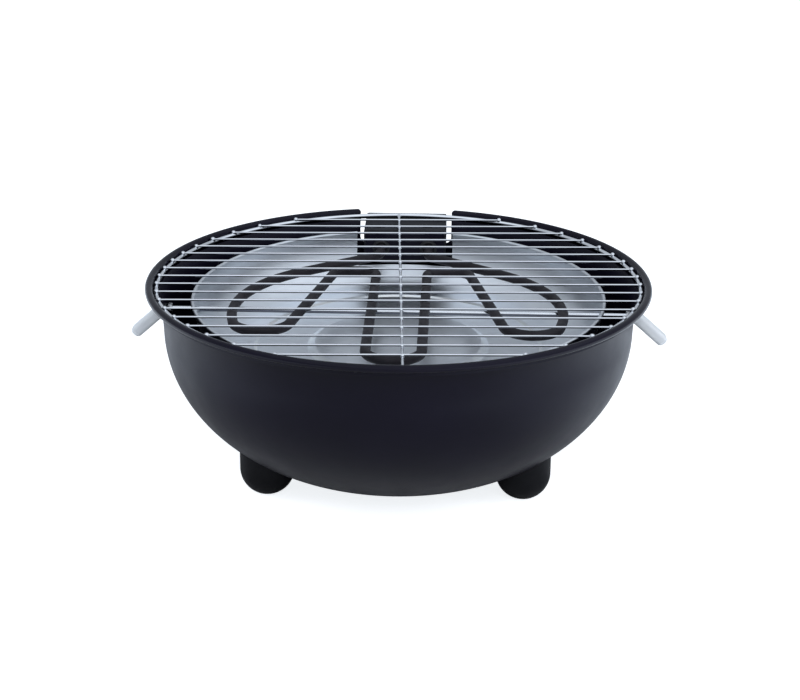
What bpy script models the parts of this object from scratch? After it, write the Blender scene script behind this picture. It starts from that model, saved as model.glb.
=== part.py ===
"""Round table-top electric grill, modelled piece by piece.

A pressed steel bowl on three ball feet carries a loose wire grate in its rim.
A chromed rod crosses the bowl, holds the drip pan and steadies the heating
element, and ends in the two side grips.  The element and its control box lift
out of a notch in the bowl's back as one unit.

Units are metres, +Z is up and -Y is the front.  Heights named "drop" are
measured down from the middle of the bowl's rolled rim.
"""
import math

import bmesh
import bpy
from mathutils import Matrix, Vector

MM = 0.001

# Clearance between pieces that touch
GAP = 0.3 * MM

# Bowl
RIM_RADIUS = 175.0 * MM
BEAD_RADIUS = 2.7 * MM
BOWL_SHEET = 1.2 * MM
LEDGE_DROP = 4.0 * MM
LEDGE_WIDTH = 4.2 * MM
SHOULDER_HEIGHT = 3.4 * MM
WALL_RADIUS = 163.0 * MM
WALL_LEAN = 1.1 * MM
CURVE_DROP = 28.7 * MM
CURVE_WIDTH = 135.5 * MM
CURVE_DEPTH = 106.3 * MM
BASE_RADIUS = 70.0 * MM
BASE_CLEARANCE = 7.9 * MM
BOWL_FACETS = 52
CURVE_FACETS = 8

# Notch in the back of the bowl
NOTCH_WIDTH = 70.4 * MM
NOTCH_DROP = 21.5 * MM
NOTCH_CORNER = 5.0 * MM

# Feet
FOOT_RADIUS = 19.0 * MM
FOOT_FLAT_RADIUS = 8.0 * MM
FOOT_CIRCLE = 102.0 * MM
FOOT_ANGLES = {"left": -150.0, "right": -30.0, "back": 90.0}
FOOT_SCREW_RADIUS = 2.5 * MM
FOOT_SCREW_LENGTH = 11.0 * MM
FOOT_SCREW_HEAD_RADIUS = 4.5 * MM
FOOT_SCREW_HEAD_HEIGHT = 2.8 * MM

# Crosswise rod, its nuts and the side grips
ROD_RADIUS = 1.8 * MM
ROD_DROP = 23.1 * MM
ROD_GRIP_DEPTH = 2.6 * MM
NUT_ACROSS_CORNERS = 8.1 * MM
NUT_THICKNESS = 3.2 * MM
GRIP_ANGLE = math.radians(41.5)
GRIP_LENGTH = 30.5 * MM
GRIP_RISE = 1.1 * MM
GRIP_ROOT_RUN = 6.5 * MM
GRIP_THICKNESS = 8.2 * MM
GRIP_WIDTH = 10.4 * MM
GRIP_CORNER = 2.6 * MM

# Drip pan under the element
PAN_RADIUS = 142.6 * MM
PAN_BEAD_RADIUS = 1.4 * MM
PAN_SHEET = 1.0 * MM
PAN_DROP = 10.5 * MM
PAN_DEPTH = 36.0 * MM
PAN_CURVE_WIDTH = 29.0 * MM
PAN_STEP_RADIUS = 99.0 * MM
PAN_STEP_HEIGHT = 1.2 * MM
PAN_STEP_WIDTH = 2.0 * MM
PAN_DISC_RADIUS = 58.5 * MM
PAN_DISC_SLOPE = 5.5 * MM
PAN_DISC_HEIGHT = 3.0 * MM
PAN_CUTOUT_WIDTH = 74.0 * MM
PAN_CUTOUT_DEPTH = 21.0 * MM
PAN_CUTOUT_REACH = 30.0 * MM
PAN_FACETS = 48

# Heating element: one bent tube with three lobes
TUBE_RADIUS = 3.5 * MM
TUBE_SIDES = 8
TERMINAL_SPREAD = 18.0 * MM
SHOULDER_Y = 112.6 * MM
SHOULDER_BEND = 14.0 * MM
OUTER_CORNER = (124.7 * MM, 29.6 * MM)
OUTER_BEND = 109.0 * MM
SIDE_LOBE_CORNER = (92.4 * MM, -140.6 * MM)
SIDE_LOBE_BEND = 19.5 * MM
INNER_CORNER_X = 48.3 * MM
INNER_BEND = 12.0 * MM
BRIDGE_Y = 74.5 * MM
MIDDLE_LEG_X = 18.5 * MM
MIDDLE_TOP_BEND = 10.0 * MM
MIDDLE_LOBE_Y = -111.5 * MM
BEND_STEP = math.radians(18.0)

# Control box: a saddle over the notch's floor
BOX_WIDTH = 62.6 * MM
BOX_WALL = 1.8 * MM
BOX_TOP_DROP = 4.2 * MM
BOX_FRONT_Y = 134.5 * MM
BOX_TOP_BACK_Y = 183.0 * MM
BOX_BACK_REACH = 26.0 * MM
BOX_BACK_TOP_DROP = 26.0 * MM
BOX_BOTTOM_DROP = 67.0 * MM
BOX_SPLIT_REACH = 12.0 * MM
BOX_ROUNDING = 1.2 * MM
FRONT_LEG_DEPTH = 21.5 * MM
FRONT_LEG_DROP = 28.0 * MM
REAR_LEG_STANDOFF = 3.6 * MM

# Face plate, seals and pins of the element's ends
PLATE_THICKNESS = 1.2 * MM
PLATE_MARGIN = 1.5 * MM
SEAL_RADIUS = 5.4 * MM
SEAL_PROUD = 1.6 * MM
SEAL_FLANGE = 1.2 * MM
SEAL_FLANGE_THICKNESS = 0.6 * MM
TUBE_END_DEPTH = 7.0 * MM
PIN_RADIUS = 1.2 * MM
BLOCK_SIZE = (46.0 * MM, 12.0 * MM, 14.0 * MM)
BLOCK_PIN_GRIP = 8.0 * MM

# Thermostat, knob and lamp
KNOB_DROP = 47.5 * MM
KNOB_RADIUS = 15.0 * MM
KNOB_SKIRT = 3.0 * MM
KNOB_GRIP_RADIUS = 11.5 * MM
KNOB_GRIP_DEPTH = 11.0 * MM
KNOB_FLUTES = 12
KNOB_FLUTE_DEPTH = 0.8 * MM
KNOB_CROWN = 1.2 * MM
KNOB_CLEARANCE = 0.8 * MM
SHAFT_RADIUS = 3.0 * MM
SHAFT_IN_KNOB = 8.0 * MM
THERMOSTAT_RADIUS = 12.0 * MM
THERMOSTAT_DEPTH = 11.0 * MM
LAMP_RADIUS = 3.6 * MM
LAMP_PROUD = 1.4 * MM
LAMP_FLANGE = 1.1 * MM
LAMP_BODY_LENGTH = 6.0 * MM

# Cover screws and cord gland
COVER_SCREW_RADIUS = 1.6 * MM
COVER_SCREW_LENGTH = 14.0 * MM
COVER_SCREW_HEAD_RADIUS = 3.0 * MM
COVER_SCREW_HEAD_HEIGHT = 1.9 * MM
COVER_SCREW_INSET = 5.5 * MM
POST_RADIUS = 3.4 * MM
GLAND_RADIUS = 6.0 * MM
GLAND_TIP_RADIUS = 4.6 * MM
GLAND_BORE = 3.3 * MM
GLAND_LENGTH = 15.0 * MM
GLAND_COLLAR = 1.6 * MM
GLAND_GROOVE = 1.0 * MM

# Grate
GRATE_TURN = math.radians(2.4)
RING_RADIUS = 167.2 * MM
RING_WIRE = 1.8 * MM
BAR_WIRE = 0.95 * MM
BAR_COUNT = 18
BAR_PITCH = 17.4 * MM
BAR_END_INSET = 0.3 * MM
SPINE_WIRE = 1.2 * MM
SPINE_SHIFT = 1.4 * MM
WELD_SINK = 0.4 * MM
WIRE_SIDES = 8
RING_FACETS = 46

# Heights and depths that follow from the sizes above
CURVE_CENTRE = WALL_RADIUS - CURVE_WIDTH
BASE_SHARE = (BASE_RADIUS - CURVE_CENTRE) / CURVE_WIDTH
BASE_DEPTH = CURVE_DEPTH * math.sqrt(1.0 - BASE_SHARE ** 2)
RIM_HEIGHT = BASE_CLEARANCE + BASE_DEPTH + CURVE_DROP
CURVE_TOP_Z = RIM_HEIGHT - CURVE_DROP
LEDGE_Z = RIM_HEIGHT - LEDGE_DROP
ROD_Z = RIM_HEIGHT - ROD_DROP
TUBE_Z = ROD_Z + ROD_RADIUS + GAP + TUBE_RADIUS
PAN_Z = RIM_HEIGHT - PAN_DROP
PAN_FLOOR_Z = PAN_Z - PAN_DEPTH
NOTCH_FLOOR_Z = RIM_HEIGHT - NOTCH_DROP
BOX_TOP_Z = RIM_HEIGHT - BOX_TOP_DROP
BOX_BOTTOM_Z = RIM_HEIGHT - BOX_BOTTOM_DROP
REAR_LEG_Y = WALL_RADIUS + REAR_LEG_STANDOFF
BOX_BACK_Y = RIM_RADIUS + BOX_BACK_REACH
BOX_SPLIT_Y = RIM_RADIUS + BOX_SPLIT_REACH
BOX_BACK_TOP_Z = RIM_HEIGHT - BOX_BACK_TOP_DROP
KNOB_Z = RIM_HEIGHT - KNOB_DROP
KNOB_BACK_Y = BOX_BACK_Y + KNOB_CLEARANCE
REAR_REACH = KNOB_BACK_Y + KNOB_SKIRT + KNOB_GRIP_DEPTH
RING_Z = LEDGE_Z + GAP + RING_WIRE
BAR_Z = RING_Z + RING_WIRE + BAR_WIRE - WELD_SINK
SPINE_Z = BAR_Z - BAR_WIRE - SPINE_WIRE + WELD_SINK
BLOCK_FRONT_Y = REAR_LEG_Y + BOX_WALL + 2.0 * GAP

# The bowl's axis stands forward of the part's origin by half of what the
# control box adds behind the rim
AXIS_Y = (RIM_RADIUS - REAR_REACH) / 2.0


# Materials

def make_material(name, colour, roughness, metallic):
    """One Principled material with a plain colour."""
    material = bpy.data.materials.new(name)
    material.use_nodes = True
    shader = material.node_tree.nodes["Principled BSDF"]
    shader.inputs["Base Color"].default_value = (*colour, 1.0)
    shader.inputs["Roughness"].default_value = roughness
    shader.inputs["Metallic"].default_value = metallic
    material.diffuse_color = (*colour, 1.0)
    return material


def make_materials():
    """Every finish on the grill, by its name."""
    return {
        "black_enamel": make_material("black_enamel", (0.018, 0.018, 0.022), 0.38, 0.0),
        "chrome": make_material("chrome", (0.78, 0.80, 0.83), 0.12, 1.0),
        "brushed_aluminium": make_material("brushed_aluminium", (0.72, 0.75, 0.79), 0.3, 1.0),
        "element_steel": make_material("element_steel", (0.06, 0.058, 0.062), 0.5, 0.7),
        "black_plastic": make_material("black_plastic", (0.02, 0.02, 0.022), 0.45, 0.0),
        "silver_plastic": make_material("silver_plastic", (0.66, 0.70, 0.75), 0.35, 0.0),
        "zinc_steel": make_material("zinc_steel", (0.6, 0.61, 0.62), 0.35, 1.0),
        "white_ceramic": make_material("white_ceramic", (0.75, 0.73, 0.68), 0.6, 0.0),
        "red_lens": make_material("red_lens", (0.6, 0.05, 0.02), 0.2, 0.0),
    }


# Mesh tools

def ring_of(radius, height, steps):
    """Points of one circle about +Z, or the single point on the axis."""
    if radius < 1e-9:
        return [Vector((0.0, 0.0, height))]
    angles = [2.0 * math.pi * k / steps for k in range(steps)]
    return [Vector((radius * math.cos(a), radius * math.sin(a), height)) for a in angles]


def skin(bm, first, second):
    """Faces between two neighbouring rings, either of which may be a point."""
    count = max(len(first), len(second))
    if count == 1:
        return
    for k in range(count):
        after = (k + 1) % count
        corners = [first[k % len(first)], first[after % len(first)]]
        corners += [second[after % len(second)], second[k % len(second)]]
        bm.faces.new(list(dict.fromkeys(corners)))


def close_mesh(bm):
    """Turn every face outwards."""
    bmesh.ops.recalc_face_normals(bm, faces=bm.faces)
    return bm


def turned(outline, steps):
    """A closed outline of (radius, height) turned about +Z."""
    bm = bmesh.new()
    rings = []
    for radius, height in outline:
        rings.append([bm.verts.new(p) for p in ring_of(radius, height, steps)])
    for k, ring in enumerate(rings):
        skin(bm, ring, rings[(k + 1) % len(rings)])
    return close_mesh(bm)


def lofted(sections, closed=False):
    """A skin over cross-sections of equal count, with flat ends."""
    bm = bmesh.new()
    rings = [[bm.verts.new(p) for p in section] for section in sections]
    for first, second in zip(rings, rings[1:]):
        skin(bm, first, second)
    if closed:
        skin(bm, rings[-1], rings[0])
    else:
        bm.faces.new(rings[0])
        bm.faces.new(rings[-1])
    return close_mesh(bm)


def swept(points, radius, sides, closed=False):
    """A round wire along a flat path at constant height."""
    up = Vector((0.0, 0.0, 1.0))
    sections = []
    last = len(points) - 1
    for k, point in enumerate(points):
        before = points[k - 1] if k > 0 or closed else points[0]
        after = points[(k + 1) % len(points)] if k < last or closed else points[last]
        side = (after - before).normalized().cross(up)
        angles = [2.0 * math.pi * j / sides for j in range(sides)]
        sections.append([point + radius * (math.cos(a) * side + math.sin(a) * up) for a in angles])
    return lofted(sections, closed)


def extruded(outline, axis, low, high):
    """A flat outline pushed from low to high along one axis, x, y or z."""
    places = {
        "x": lambda u, v, w: Vector((w, u, v)),
        "y": lambda u, v, w: Vector((u, w, v)),
        "z": lambda u, v, w: Vector((u, v, w)),
    }
    place = places[axis]
    return lofted([[place(u, v, w) for u, v in outline] for w in (low, high)])


def pin(radius, low, high, sides=12):
    """A plain cylinder about +Z."""
    return turned([(0.0, low), (radius, low), (radius, high), (0.0, high)], sides)


def along_x(bm):
    """Lay a piece modelled about +Z along +X."""
    bmesh.ops.transform(bm, matrix=Matrix.Rotation(math.pi / 2.0, 4, "Y"), verts=bm.verts)
    return bm


def along_y(bm):
    """Lay a piece modelled about +Z along +Y."""
    bmesh.ops.transform(bm, matrix=Matrix.Rotation(-math.pi / 2.0, 4, "X"), verts=bm.verts)
    return bm


def moved(bm, offset):
    """Shift a mesh."""
    bmesh.ops.translate(bm, vec=Vector(offset), verts=bm.verts)
    return bm


def aim(point, direction):
    """The placing of a piece modelled about +Z: at a point, with +Z along a direction."""
    turn = Vector((0.0, 0.0, 1.0)).rotation_difference(Vector(direction)).to_matrix().to_4x4()
    return Matrix.Translation(point) @ turn


def aimed(bm, point, direction):
    """Place a mesh modelled about +Z at a point, with its +Z along a direction."""
    bmesh.ops.transform(bm, matrix=aim(point, direction), verts=bm.verts)
    return bm


def joined(*pieces):
    """Separate solids in one mesh."""
    whole = bmesh.new()
    for bm in pieces:
        mesh = bpy.data.meshes.new("part")
        bm.to_mesh(mesh)
        bm.free()
        whole.from_mesh(mesh)
        bpy.data.meshes.remove(mesh)
    return whole


def arc(centre, radius_u, radius_v, start, end, steps):
    """Points on an elliptic arc, from the start angle to the end angle."""
    angles = [start + (end - start) * k / steps for k in range(steps + 1)]
    return [(centre[0] + radius_u * math.cos(a), centre[1] + radius_v * math.sin(a)) for a in angles]


# Objects

def add_empty(name, parent, location=(0.0, 0.0, 0.0)):
    """A guide that carries a moving group."""
    empty = bpy.data.objects.new(name, None)
    empty.empty_display_size = 0.02
    empty.location = location
    empty.parent = parent
    bpy.context.scene.collection.objects.link(empty)
    return empty


def add_copies(places, bm, material, parent):
    """Named copies of one solid, each placed by its matrix."""
    mesh = bpy.data.meshes.new(next(iter(places)))
    bm.to_mesh(mesh)
    bm.free()
    mesh.materials.append(material)
    mesh.shade_smooth()
    mesh.set_sharp_from_angle(angle=math.radians(35.0))
    copies = []
    for name, place in places.items():
        piece = bpy.data.objects.new(name, mesh)
        piece.parent = parent
        piece.matrix_local = place
        bpy.context.scene.collection.objects.link(piece)
        copies.append(piece)
    return copies


def add_piece(name, bm, material, parent):
    """One named solid under its group."""
    return add_copies({name: Matrix.Identity(4)}, bm, material, parent)[0]


def add_tool(name, bm, parent):
    """A hidden shape that only cuts a piece or adds to it."""
    mesh = bpy.data.meshes.new(name)
    bm.to_mesh(mesh)
    bm.free()
    tool = bpy.data.objects.new(name, mesh)
    tool.parent = parent
    tool.hide_render = True
    tool.display_type = "WIRE"
    bpy.context.scene.collection.objects.link(tool)
    return tool


def combine(piece, tool, operation):
    """Work a tool's shape into a piece."""
    modifier = piece.modifiers.new(tool.name, "BOOLEAN")
    modifier.operation = operation
    modifier.solver = "EXACT"
    modifier.object = tool


def cut(piece, tool):
    """Take one shape out of a piece."""
    combine(piece, tool, "DIFFERENCE")


def weld(piece, tool):
    """Make one shape part of a piece."""
    combine(piece, tool, "UNION")


def round_edges(piece, width, segments=2):
    """Round a moulded piece's edges."""
    modifier = piece.modifiers.new("rounding", "BEVEL")
    modifier.width = width
    modifier.segments = segments
    modifier.limit_method = "ANGLE"
    modifier.angle_limit = math.radians(30.0)


# Bowl

def bowl_curve(offset, steps):
    """The pressed curve from the upright wall to the base, set in by an offset."""
    width = CURVE_WIDTH - offset
    depth = CURVE_DEPTH - offset
    end = math.asin((BASE_DEPTH - offset) / depth)
    return arc((CURVE_CENTRE, CURVE_TOP_Z), width, -depth, 0.0, end, steps)


def wall_radius_at(z):
    """Outer radius of the leaning upright wall at a height."""
    top = LEDGE_Z - BOWL_SHEET - SHOULDER_HEIGHT
    return WALL_RADIUS + WALL_LEAN * (z - CURVE_TOP_Z) / (top - CURVE_TOP_Z)


def bowl_outline():
    """Section of the bowl, from the base's underside round the rim to its inside."""
    bead_centre = RIM_RADIUS - BEAD_RADIUS
    lip_inner = RIM_RADIUS - 2.0 * BEAD_RADIUS
    lip_outer = lip_inner + BOWL_SHEET
    ledge_inner = lip_inner - LEDGE_WIDTH
    ledge_under = LEDGE_Z - BOWL_SHEET
    shoulder_z = ledge_under - SHOULDER_HEIGHT
    base_z = CURVE_TOP_Z - BASE_DEPTH
    outside = list(reversed(bowl_curve(0.0, CURVE_FACETS)))
    outside += [(wall_radius_at(shoulder_z), shoulder_z), (ledge_inner + BOWL_SHEET, ledge_under)]
    outside.append((lip_outer, ledge_under))
    under = math.pi + math.acos((bead_centre - lip_outer) / BEAD_RADIUS)
    bead = arc((bead_centre, RIM_HEIGHT), BEAD_RADIUS, BEAD_RADIUS, under, 3.0 * math.pi, 7)
    inside = [(lip_inner, LEDGE_Z), (ledge_inner, LEDGE_Z)]
    inside.append((wall_radius_at(shoulder_z) - BOWL_SHEET, shoulder_z))
    inside += bowl_curve(BOWL_SHEET, CURVE_FACETS)
    return [(0.0, base_z)] + outside + bead + inside + [(0.0, base_z + BOWL_SHEET)]


def rounded_notch(width, floor, corner, top):
    """Outline of an open-topped notch with round lower corners."""
    half = width / 2.0
    left = arc((-half + corner, floor + corner), corner, corner, math.pi, 1.5 * math.pi, 4)
    right = arc((half - corner, floor + corner), corner, corner, 1.5 * math.pi, 2.0 * math.pi, 4)
    return [(-half, top)] + left + right + [(half, top)]


def make_bowl(grill, finish, rod_bore):
    """The bowl, with its notch, the rod's holes and the feet's screw holes."""
    bowl = add_piece("bowl", turned(bowl_outline(), BOWL_FACETS), finish["black_enamel"], grill)
    notch_top = RIM_HEIGHT + 2.0 * BEAD_RADIUS
    notch = rounded_notch(NOTCH_WIDTH, NOTCH_FLOOR_Z, NOTCH_CORNER, notch_top)
    reach = (WALL_RADIUS - NOTCH_WIDTH / 2.0, RIM_RADIUS + NOTCH_WIDTH / 2.0)
    cut(bowl, add_tool("notch_cutter", extruded(notch, "y", *reach), grill))
    cut(bowl, rod_bore)
    bores = [foot_screw_bore(math.radians(a)) for a in FOOT_ANGLES.values()]
    cut(bowl, add_tool("foot_bore_cutter", joined(*bores), grill))
    return bowl


# Feet

def foot_screw_line(angle):
    """Where a foot's screw crosses the bowl's outer face, and the way it points."""
    share = (FOOT_CIRCLE - CURVE_CENTRE) / CURVE_WIDTH
    lift = math.sqrt(1.0 - share * share)
    outwards = Vector((share / CURVE_WIDTH, 0.0, -lift / CURVE_DEPTH)).normalized()
    point = Vector((FOOT_CIRCLE, 0.0, CURVE_TOP_Z - CURVE_DEPTH * lift))
    turn = Matrix.Rotation(angle, 3, "Z")
    return turn @ point, turn @ outwards


def foot_screw_bore(angle):
    """Clearance hole for one foot screw, through the bowl and into the foot."""
    point, outwards = foot_screw_line(angle)
    length = FOOT_SCREW_LENGTH + GAP
    return aimed(pin(FOOT_SCREW_RADIUS + GAP, -3.0 * BOWL_SHEET, length), point, outwards)


def foot_screw():
    """A pan-head screw that holds a foot from inside the bowl, about +Z."""
    seat = -BOWL_SHEET - 2.5 * GAP
    top = seat - FOOT_SCREW_HEAD_HEIGHT
    crown = FOOT_SCREW_HEAD_RADIUS * 0.7
    outline = [(0.0, top), (crown, top), (FOOT_SCREW_HEAD_RADIUS, top + (seat - top) * 0.45)]
    outline += [(FOOT_SCREW_HEAD_RADIUS, seat), (FOOT_SCREW_RADIUS, seat)]
    outline += [(FOOT_SCREW_RADIUS, FOOT_SCREW_LENGTH), (0.0, FOOT_SCREW_LENGTH)]
    return turned(outline, 12)


def foot_outline():
    """Section of a ball foot with a flat under it and a straight stem."""
    centre = math.sqrt(FOOT_RADIUS ** 2 - FOOT_FLAT_RADIUS ** 2)
    start = -math.acos(FOOT_FLAT_RADIUS / FOOT_RADIUS)
    ball = arc((0.0, centre), FOOT_RADIUS, FOOT_RADIUS, start, 0.0, 5)
    top = CURVE_TOP_Z - CURVE_DEPTH * 0.5
    return [(0.0, 0.0)] + ball + [(FOOT_RADIUS, top), (0.0, top)]


def bowl_form():
    """The bowl's outer shape as a solid, a gap larger, to trim what stands against it."""
    top = CURVE_TOP_Z - GAP
    curve = list(reversed(bowl_curve(-GAP, 2 * CURVE_FACETS)))
    base_z = curve[0][1]
    return turned([(0.0, base_z)] + curve + [(0.0, top + GAP)], 2 * BOWL_FACETS)


def make_feet(grill, finish):
    """Three ball feet, trimmed to the bowl, and their screws."""
    form = add_tool("bowl_form_cutter", bowl_form(), grill)
    angles = {name: math.radians(a) for name, a in FOOT_ANGLES.items()}
    bores = [foot_screw_bore(a) for a in angles.values()]
    bore = add_tool("foot_hole_cutter", joined(*bores), grill)
    feet = {}
    screws = {}
    for name, angle in angles.items():
        place = Vector((FOOT_CIRCLE * math.cos(angle), FOOT_CIRCLE * math.sin(angle), 0.0))
        feet["foot_" + name] = Matrix.Translation(place)
        screws["foot_screw_" + name] = aim(*foot_screw_line(angle))
    for foot in add_copies(feet, turned(foot_outline(), 18), finish["black_plastic"], grill):
        cut(foot, form)
        cut(foot, bore)
    add_copies(screws, foot_screw(), finish["zinc_steel"], grill)


# Rod, nuts and side grips

def rod_half_length():
    """From the middle of the rod to its end inside a grip."""
    return wall_radius_at(ROD_Z) + ROD_GRIP_DEPTH


def make_rod_bore(grill):
    """The hole that the rod needs through the bowl and the pan."""
    half = rod_half_length() + GAP
    bore = moved(along_x(pin(ROD_RADIUS + GAP, -half, half)), (0.0, 0.0, ROD_Z))
    return add_tool("rod_bore_cutter", bore, grill)


def make_rod(grill, finish):
    """The crosswise rod and a nut at each wall."""
    half = rod_half_length()
    rod = moved(along_x(pin(ROD_RADIUS, -half, half)), (0.0, 0.0, ROD_Z))
    add_piece("support_rod", rod, finish["chrome"], grill)
    seat = wall_radius_at(ROD_Z) - BOWL_SHEET - 1.5 * GAP
    bore = (ROD_RADIUS + GAP) / math.cos(math.pi / 6.0)
    outer = NUT_ACROSS_CORNERS / 2.0
    outline = [(bore, 0.0), (outer, 0.0), (outer, NUT_THICKNESS), (bore, NUT_THICKNESS)]
    places = {
        "rod_nut_left": aim((-seat, 0.0, ROD_Z), (1.0, 0.0, 0.0)),
        "rod_nut_right": aim((seat, 0.0, ROD_Z), (-1.0, 0.0, 0.0)),
    }
    add_copies(places, turned(outline, 6), finish["zinc_steel"], grill)


def grip_section(thickness, width, shrink):
    """Corner points of a rounded bar's section, with its middle at zero."""
    corner = GRIP_CORNER * shrink
    reach_u = thickness * shrink / 2.0 - corner
    reach_v = width * shrink / 2.0 - corner
    points = []
    for quarter, (sign_u, sign_v) in enumerate(((1, 1), (-1, 1), (-1, -1), (1, -1))):
        middle = (sign_u * reach_u, sign_v * reach_v)
        turn = quarter * math.pi / 2.0
        points += arc(middle, corner, corner, turn, turn + math.pi / 2.0, 2)
    return points


def grip_sections(side):
    """Sections of a side grip, from the bowl's wall to its round tip."""
    root_height = GRIP_THICKNESS / math.cos(GRIP_ANGLE)
    root_top = ROD_Z + GRIP_RISE + root_height / 2.0
    root = Vector((wall_radius_at(root_top) + GAP, ROD_Z + GRIP_RISE))
    down = Vector((math.cos(GRIP_ANGLE), -math.sin(GRIP_ANGLE)))
    dome = GRIP_THICKNESS / 2.0
    straight = GRIP_LENGTH - dome
    stations = [(0.0, 0.0, root_height, 1.0)]
    for run in (GRIP_ROOT_RUN, 0.6 * straight, straight):
        stations.append((run, GRIP_ANGLE, GRIP_THICKNESS, 1.0))
    for turn in (30.0, 55.0, 75.0):
        swing = math.radians(turn)
        stations.append((straight + dome * math.sin(swing), GRIP_ANGLE, GRIP_THICKNESS, math.cos(swing)))
    sections = []
    for run, lean, thickness, shrink in stations:
        centre = root + down * run
        across = Vector((math.sin(lean), math.cos(lean)))
        section = []
        for u, v in grip_section(thickness, GRIP_WIDTH, shrink):
            place = centre + across * u
            section.append(Vector((side * place.x, v, place.y)))
        sections.append(section)
    return sections


def make_grips(grill, finish, rod_bore):
    """The two side grips on the rod's ends."""
    for name, side in (("left_handle", -1.0), ("right_handle", 1.0)):
        grip = add_piece(name, lofted(grip_sections(side)), finish["silver_plastic"], grill)
        cut(grip, rod_bore)


# Drip pan

def pan_outline():
    """Section of the pan: stepped floor, curved wall and rolled edge."""
    wall_inner = PAN_RADIUS - PAN_BEAD_RADIUS
    curve_centre = wall_inner - PAN_CURVE_WIDTH
    floor = PAN_FLOOR_Z
    low_floor = floor - PAN_STEP_HEIGHT
    disc = low_floor + PAN_DISC_HEIGHT
    disc_foot = PAN_DISC_RADIUS + PAN_DISC_SLOPE
    step_top = PAN_STEP_RADIUS + PAN_STEP_WIDTH
    top = [(0.0, disc), (PAN_DISC_RADIUS, disc), (disc_foot, low_floor)]
    top += [(PAN_STEP_RADIUS, low_floor), (step_top, floor)]
    top += arc((curve_centre, PAN_Z), PAN_CURVE_WIDTH, PAN_DEPTH, -0.5 * math.pi, 0.0, 5)
    bead = arc((PAN_RADIUS, PAN_Z), PAN_BEAD_RADIUS, PAN_BEAD_RADIUS, math.pi, -0.55 * math.pi, 5)
    outer_width = PAN_CURVE_WIDTH + PAN_SHEET
    outer_depth = PAN_DEPTH + PAN_SHEET
    under = arc((curve_centre, PAN_Z), outer_width, outer_depth, -0.08 * math.pi, -0.5 * math.pi, 4)
    under += [(step_top + PAN_SHEET / 2.0, floor - PAN_SHEET)]
    under += [(PAN_STEP_RADIUS + PAN_SHEET / 2.0, low_floor - PAN_SHEET)]
    under += [(disc_foot - PAN_SHEET / 2.0, low_floor - PAN_SHEET)]
    under += [(PAN_DISC_RADIUS - PAN_SHEET / 2.0, disc - PAN_SHEET), (0.0, disc - PAN_SHEET)]
    return top + bead[1:] + under


def make_pan(grill, finish, rod_bore):
    """The pan, with a gap at its back for the control box and the rod's holes."""
    sheet = turned(pan_outline(), PAN_FACETS)
    pan = add_piece("reflector_pan", sheet, finish["brushed_aluminium"], grill)
    half = PAN_CUTOUT_WIDTH / 2.0
    floor = PAN_Z - PAN_CUTOUT_DEPTH
    top = PAN_Z + 3.0 * PAN_BEAD_RADIUS
    outline = [(-half, floor), (half, floor), (half, top), (-half, top)]
    reach = (PAN_RADIUS - PAN_CUTOUT_REACH, PAN_RADIUS + PAN_CUTOUT_REACH)
    cut(pan, add_tool("pan_cutter", extruded(outline, "y", *reach), grill))
    cut(pan, rod_bore)
    return pan


# Heating element

def filleted(corners):
    """Points along straight runs joined by round bends, from (x, y, bend radius)."""
    points = [Vector(corners[0][:2])]
    for before, here, after in zip(corners, corners[1:], corners[2:]):
        corner = Vector(here[:2])
        arriving = (corner - Vector(before[:2])).normalized()
        leaving = (Vector(after[:2]) - corner).normalized()
        turn = arriving.angle(leaving)
        reach = here[2] * math.tan(turn / 2.0)
        start = corner - arriving * reach
        sense = 1.0 if arriving.cross(leaving) > 0.0 else -1.0
        centre = start + Vector((-arriving.y, arriving.x)) * sense * here[2]
        steps = max(2, round(turn / BEND_STEP))
        for k in range(steps + 1):
            swing = Matrix.Rotation(sense * turn * k / steps, 2)
            points.append(centre + swing @ (start - centre))
    points.append(Vector(corners[-1][:2]))
    return points


def element_path(terminal_y):
    """The tube's centre line, from one terminal round the three lobes to the other."""
    half = [
        (TERMINAL_SPREAD, terminal_y, 0.0),
        (TERMINAL_SPREAD, SHOULDER_Y, SHOULDER_BEND),
        (*OUTER_CORNER, OUTER_BEND),
        (*SIDE_LOBE_CORNER, SIDE_LOBE_BEND),
        (INNER_CORNER_X, BRIDGE_Y, INNER_BEND),
        (MIDDLE_LEG_X, BRIDGE_Y, MIDDLE_TOP_BEND),
        (MIDDLE_LEG_X, MIDDLE_LOBE_Y, MIDDLE_LEG_X),
        (0.0, MIDDLE_LOBE_Y, 0.0),
    ]
    right = filleted(half)[:-1]
    left = [Vector((-p.x, p.y)) for p in reversed(right[:-1])]
    return [Vector((p.x, p.y, TUBE_Z)) for p in right + left]


def tube_end_y():
    """Where the element's sheath ends, inside the control box."""
    return BOX_FRONT_Y + TUBE_END_DEPTH


def make_element(unit, finish):
    """The bent tube, the pins in its ends, the face plate and the seals."""
    tube = swept(element_path(tube_end_y()), TUBE_RADIUS, TUBE_SIDES)
    add_piece("heating_element", tube, finish["element_steel"], unit)
    start = tube_end_y() + GAP
    length = BLOCK_FRONT_Y + BLOCK_PIN_GRIP - start
    pins = {}
    seals = {}
    for name, x in (("left", -TERMINAL_SPREAD), ("right", TERMINAL_SPREAD)):
        pins["terminal_pin_" + name] = Matrix.Translation((x, start, TUBE_Z))
        seals["tube_seal_" + name] = Matrix.Translation((x, BOX_FRONT_Y, TUBE_Z))
    add_copies(pins, along_y(pin(PIN_RADIUS, 0.0, length, 10)), finish["zinc_steel"], unit)
    add_copies(seals, along_y(seal()), finish["black_plastic"], unit)
    make_face_plate(unit, finish)


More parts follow.
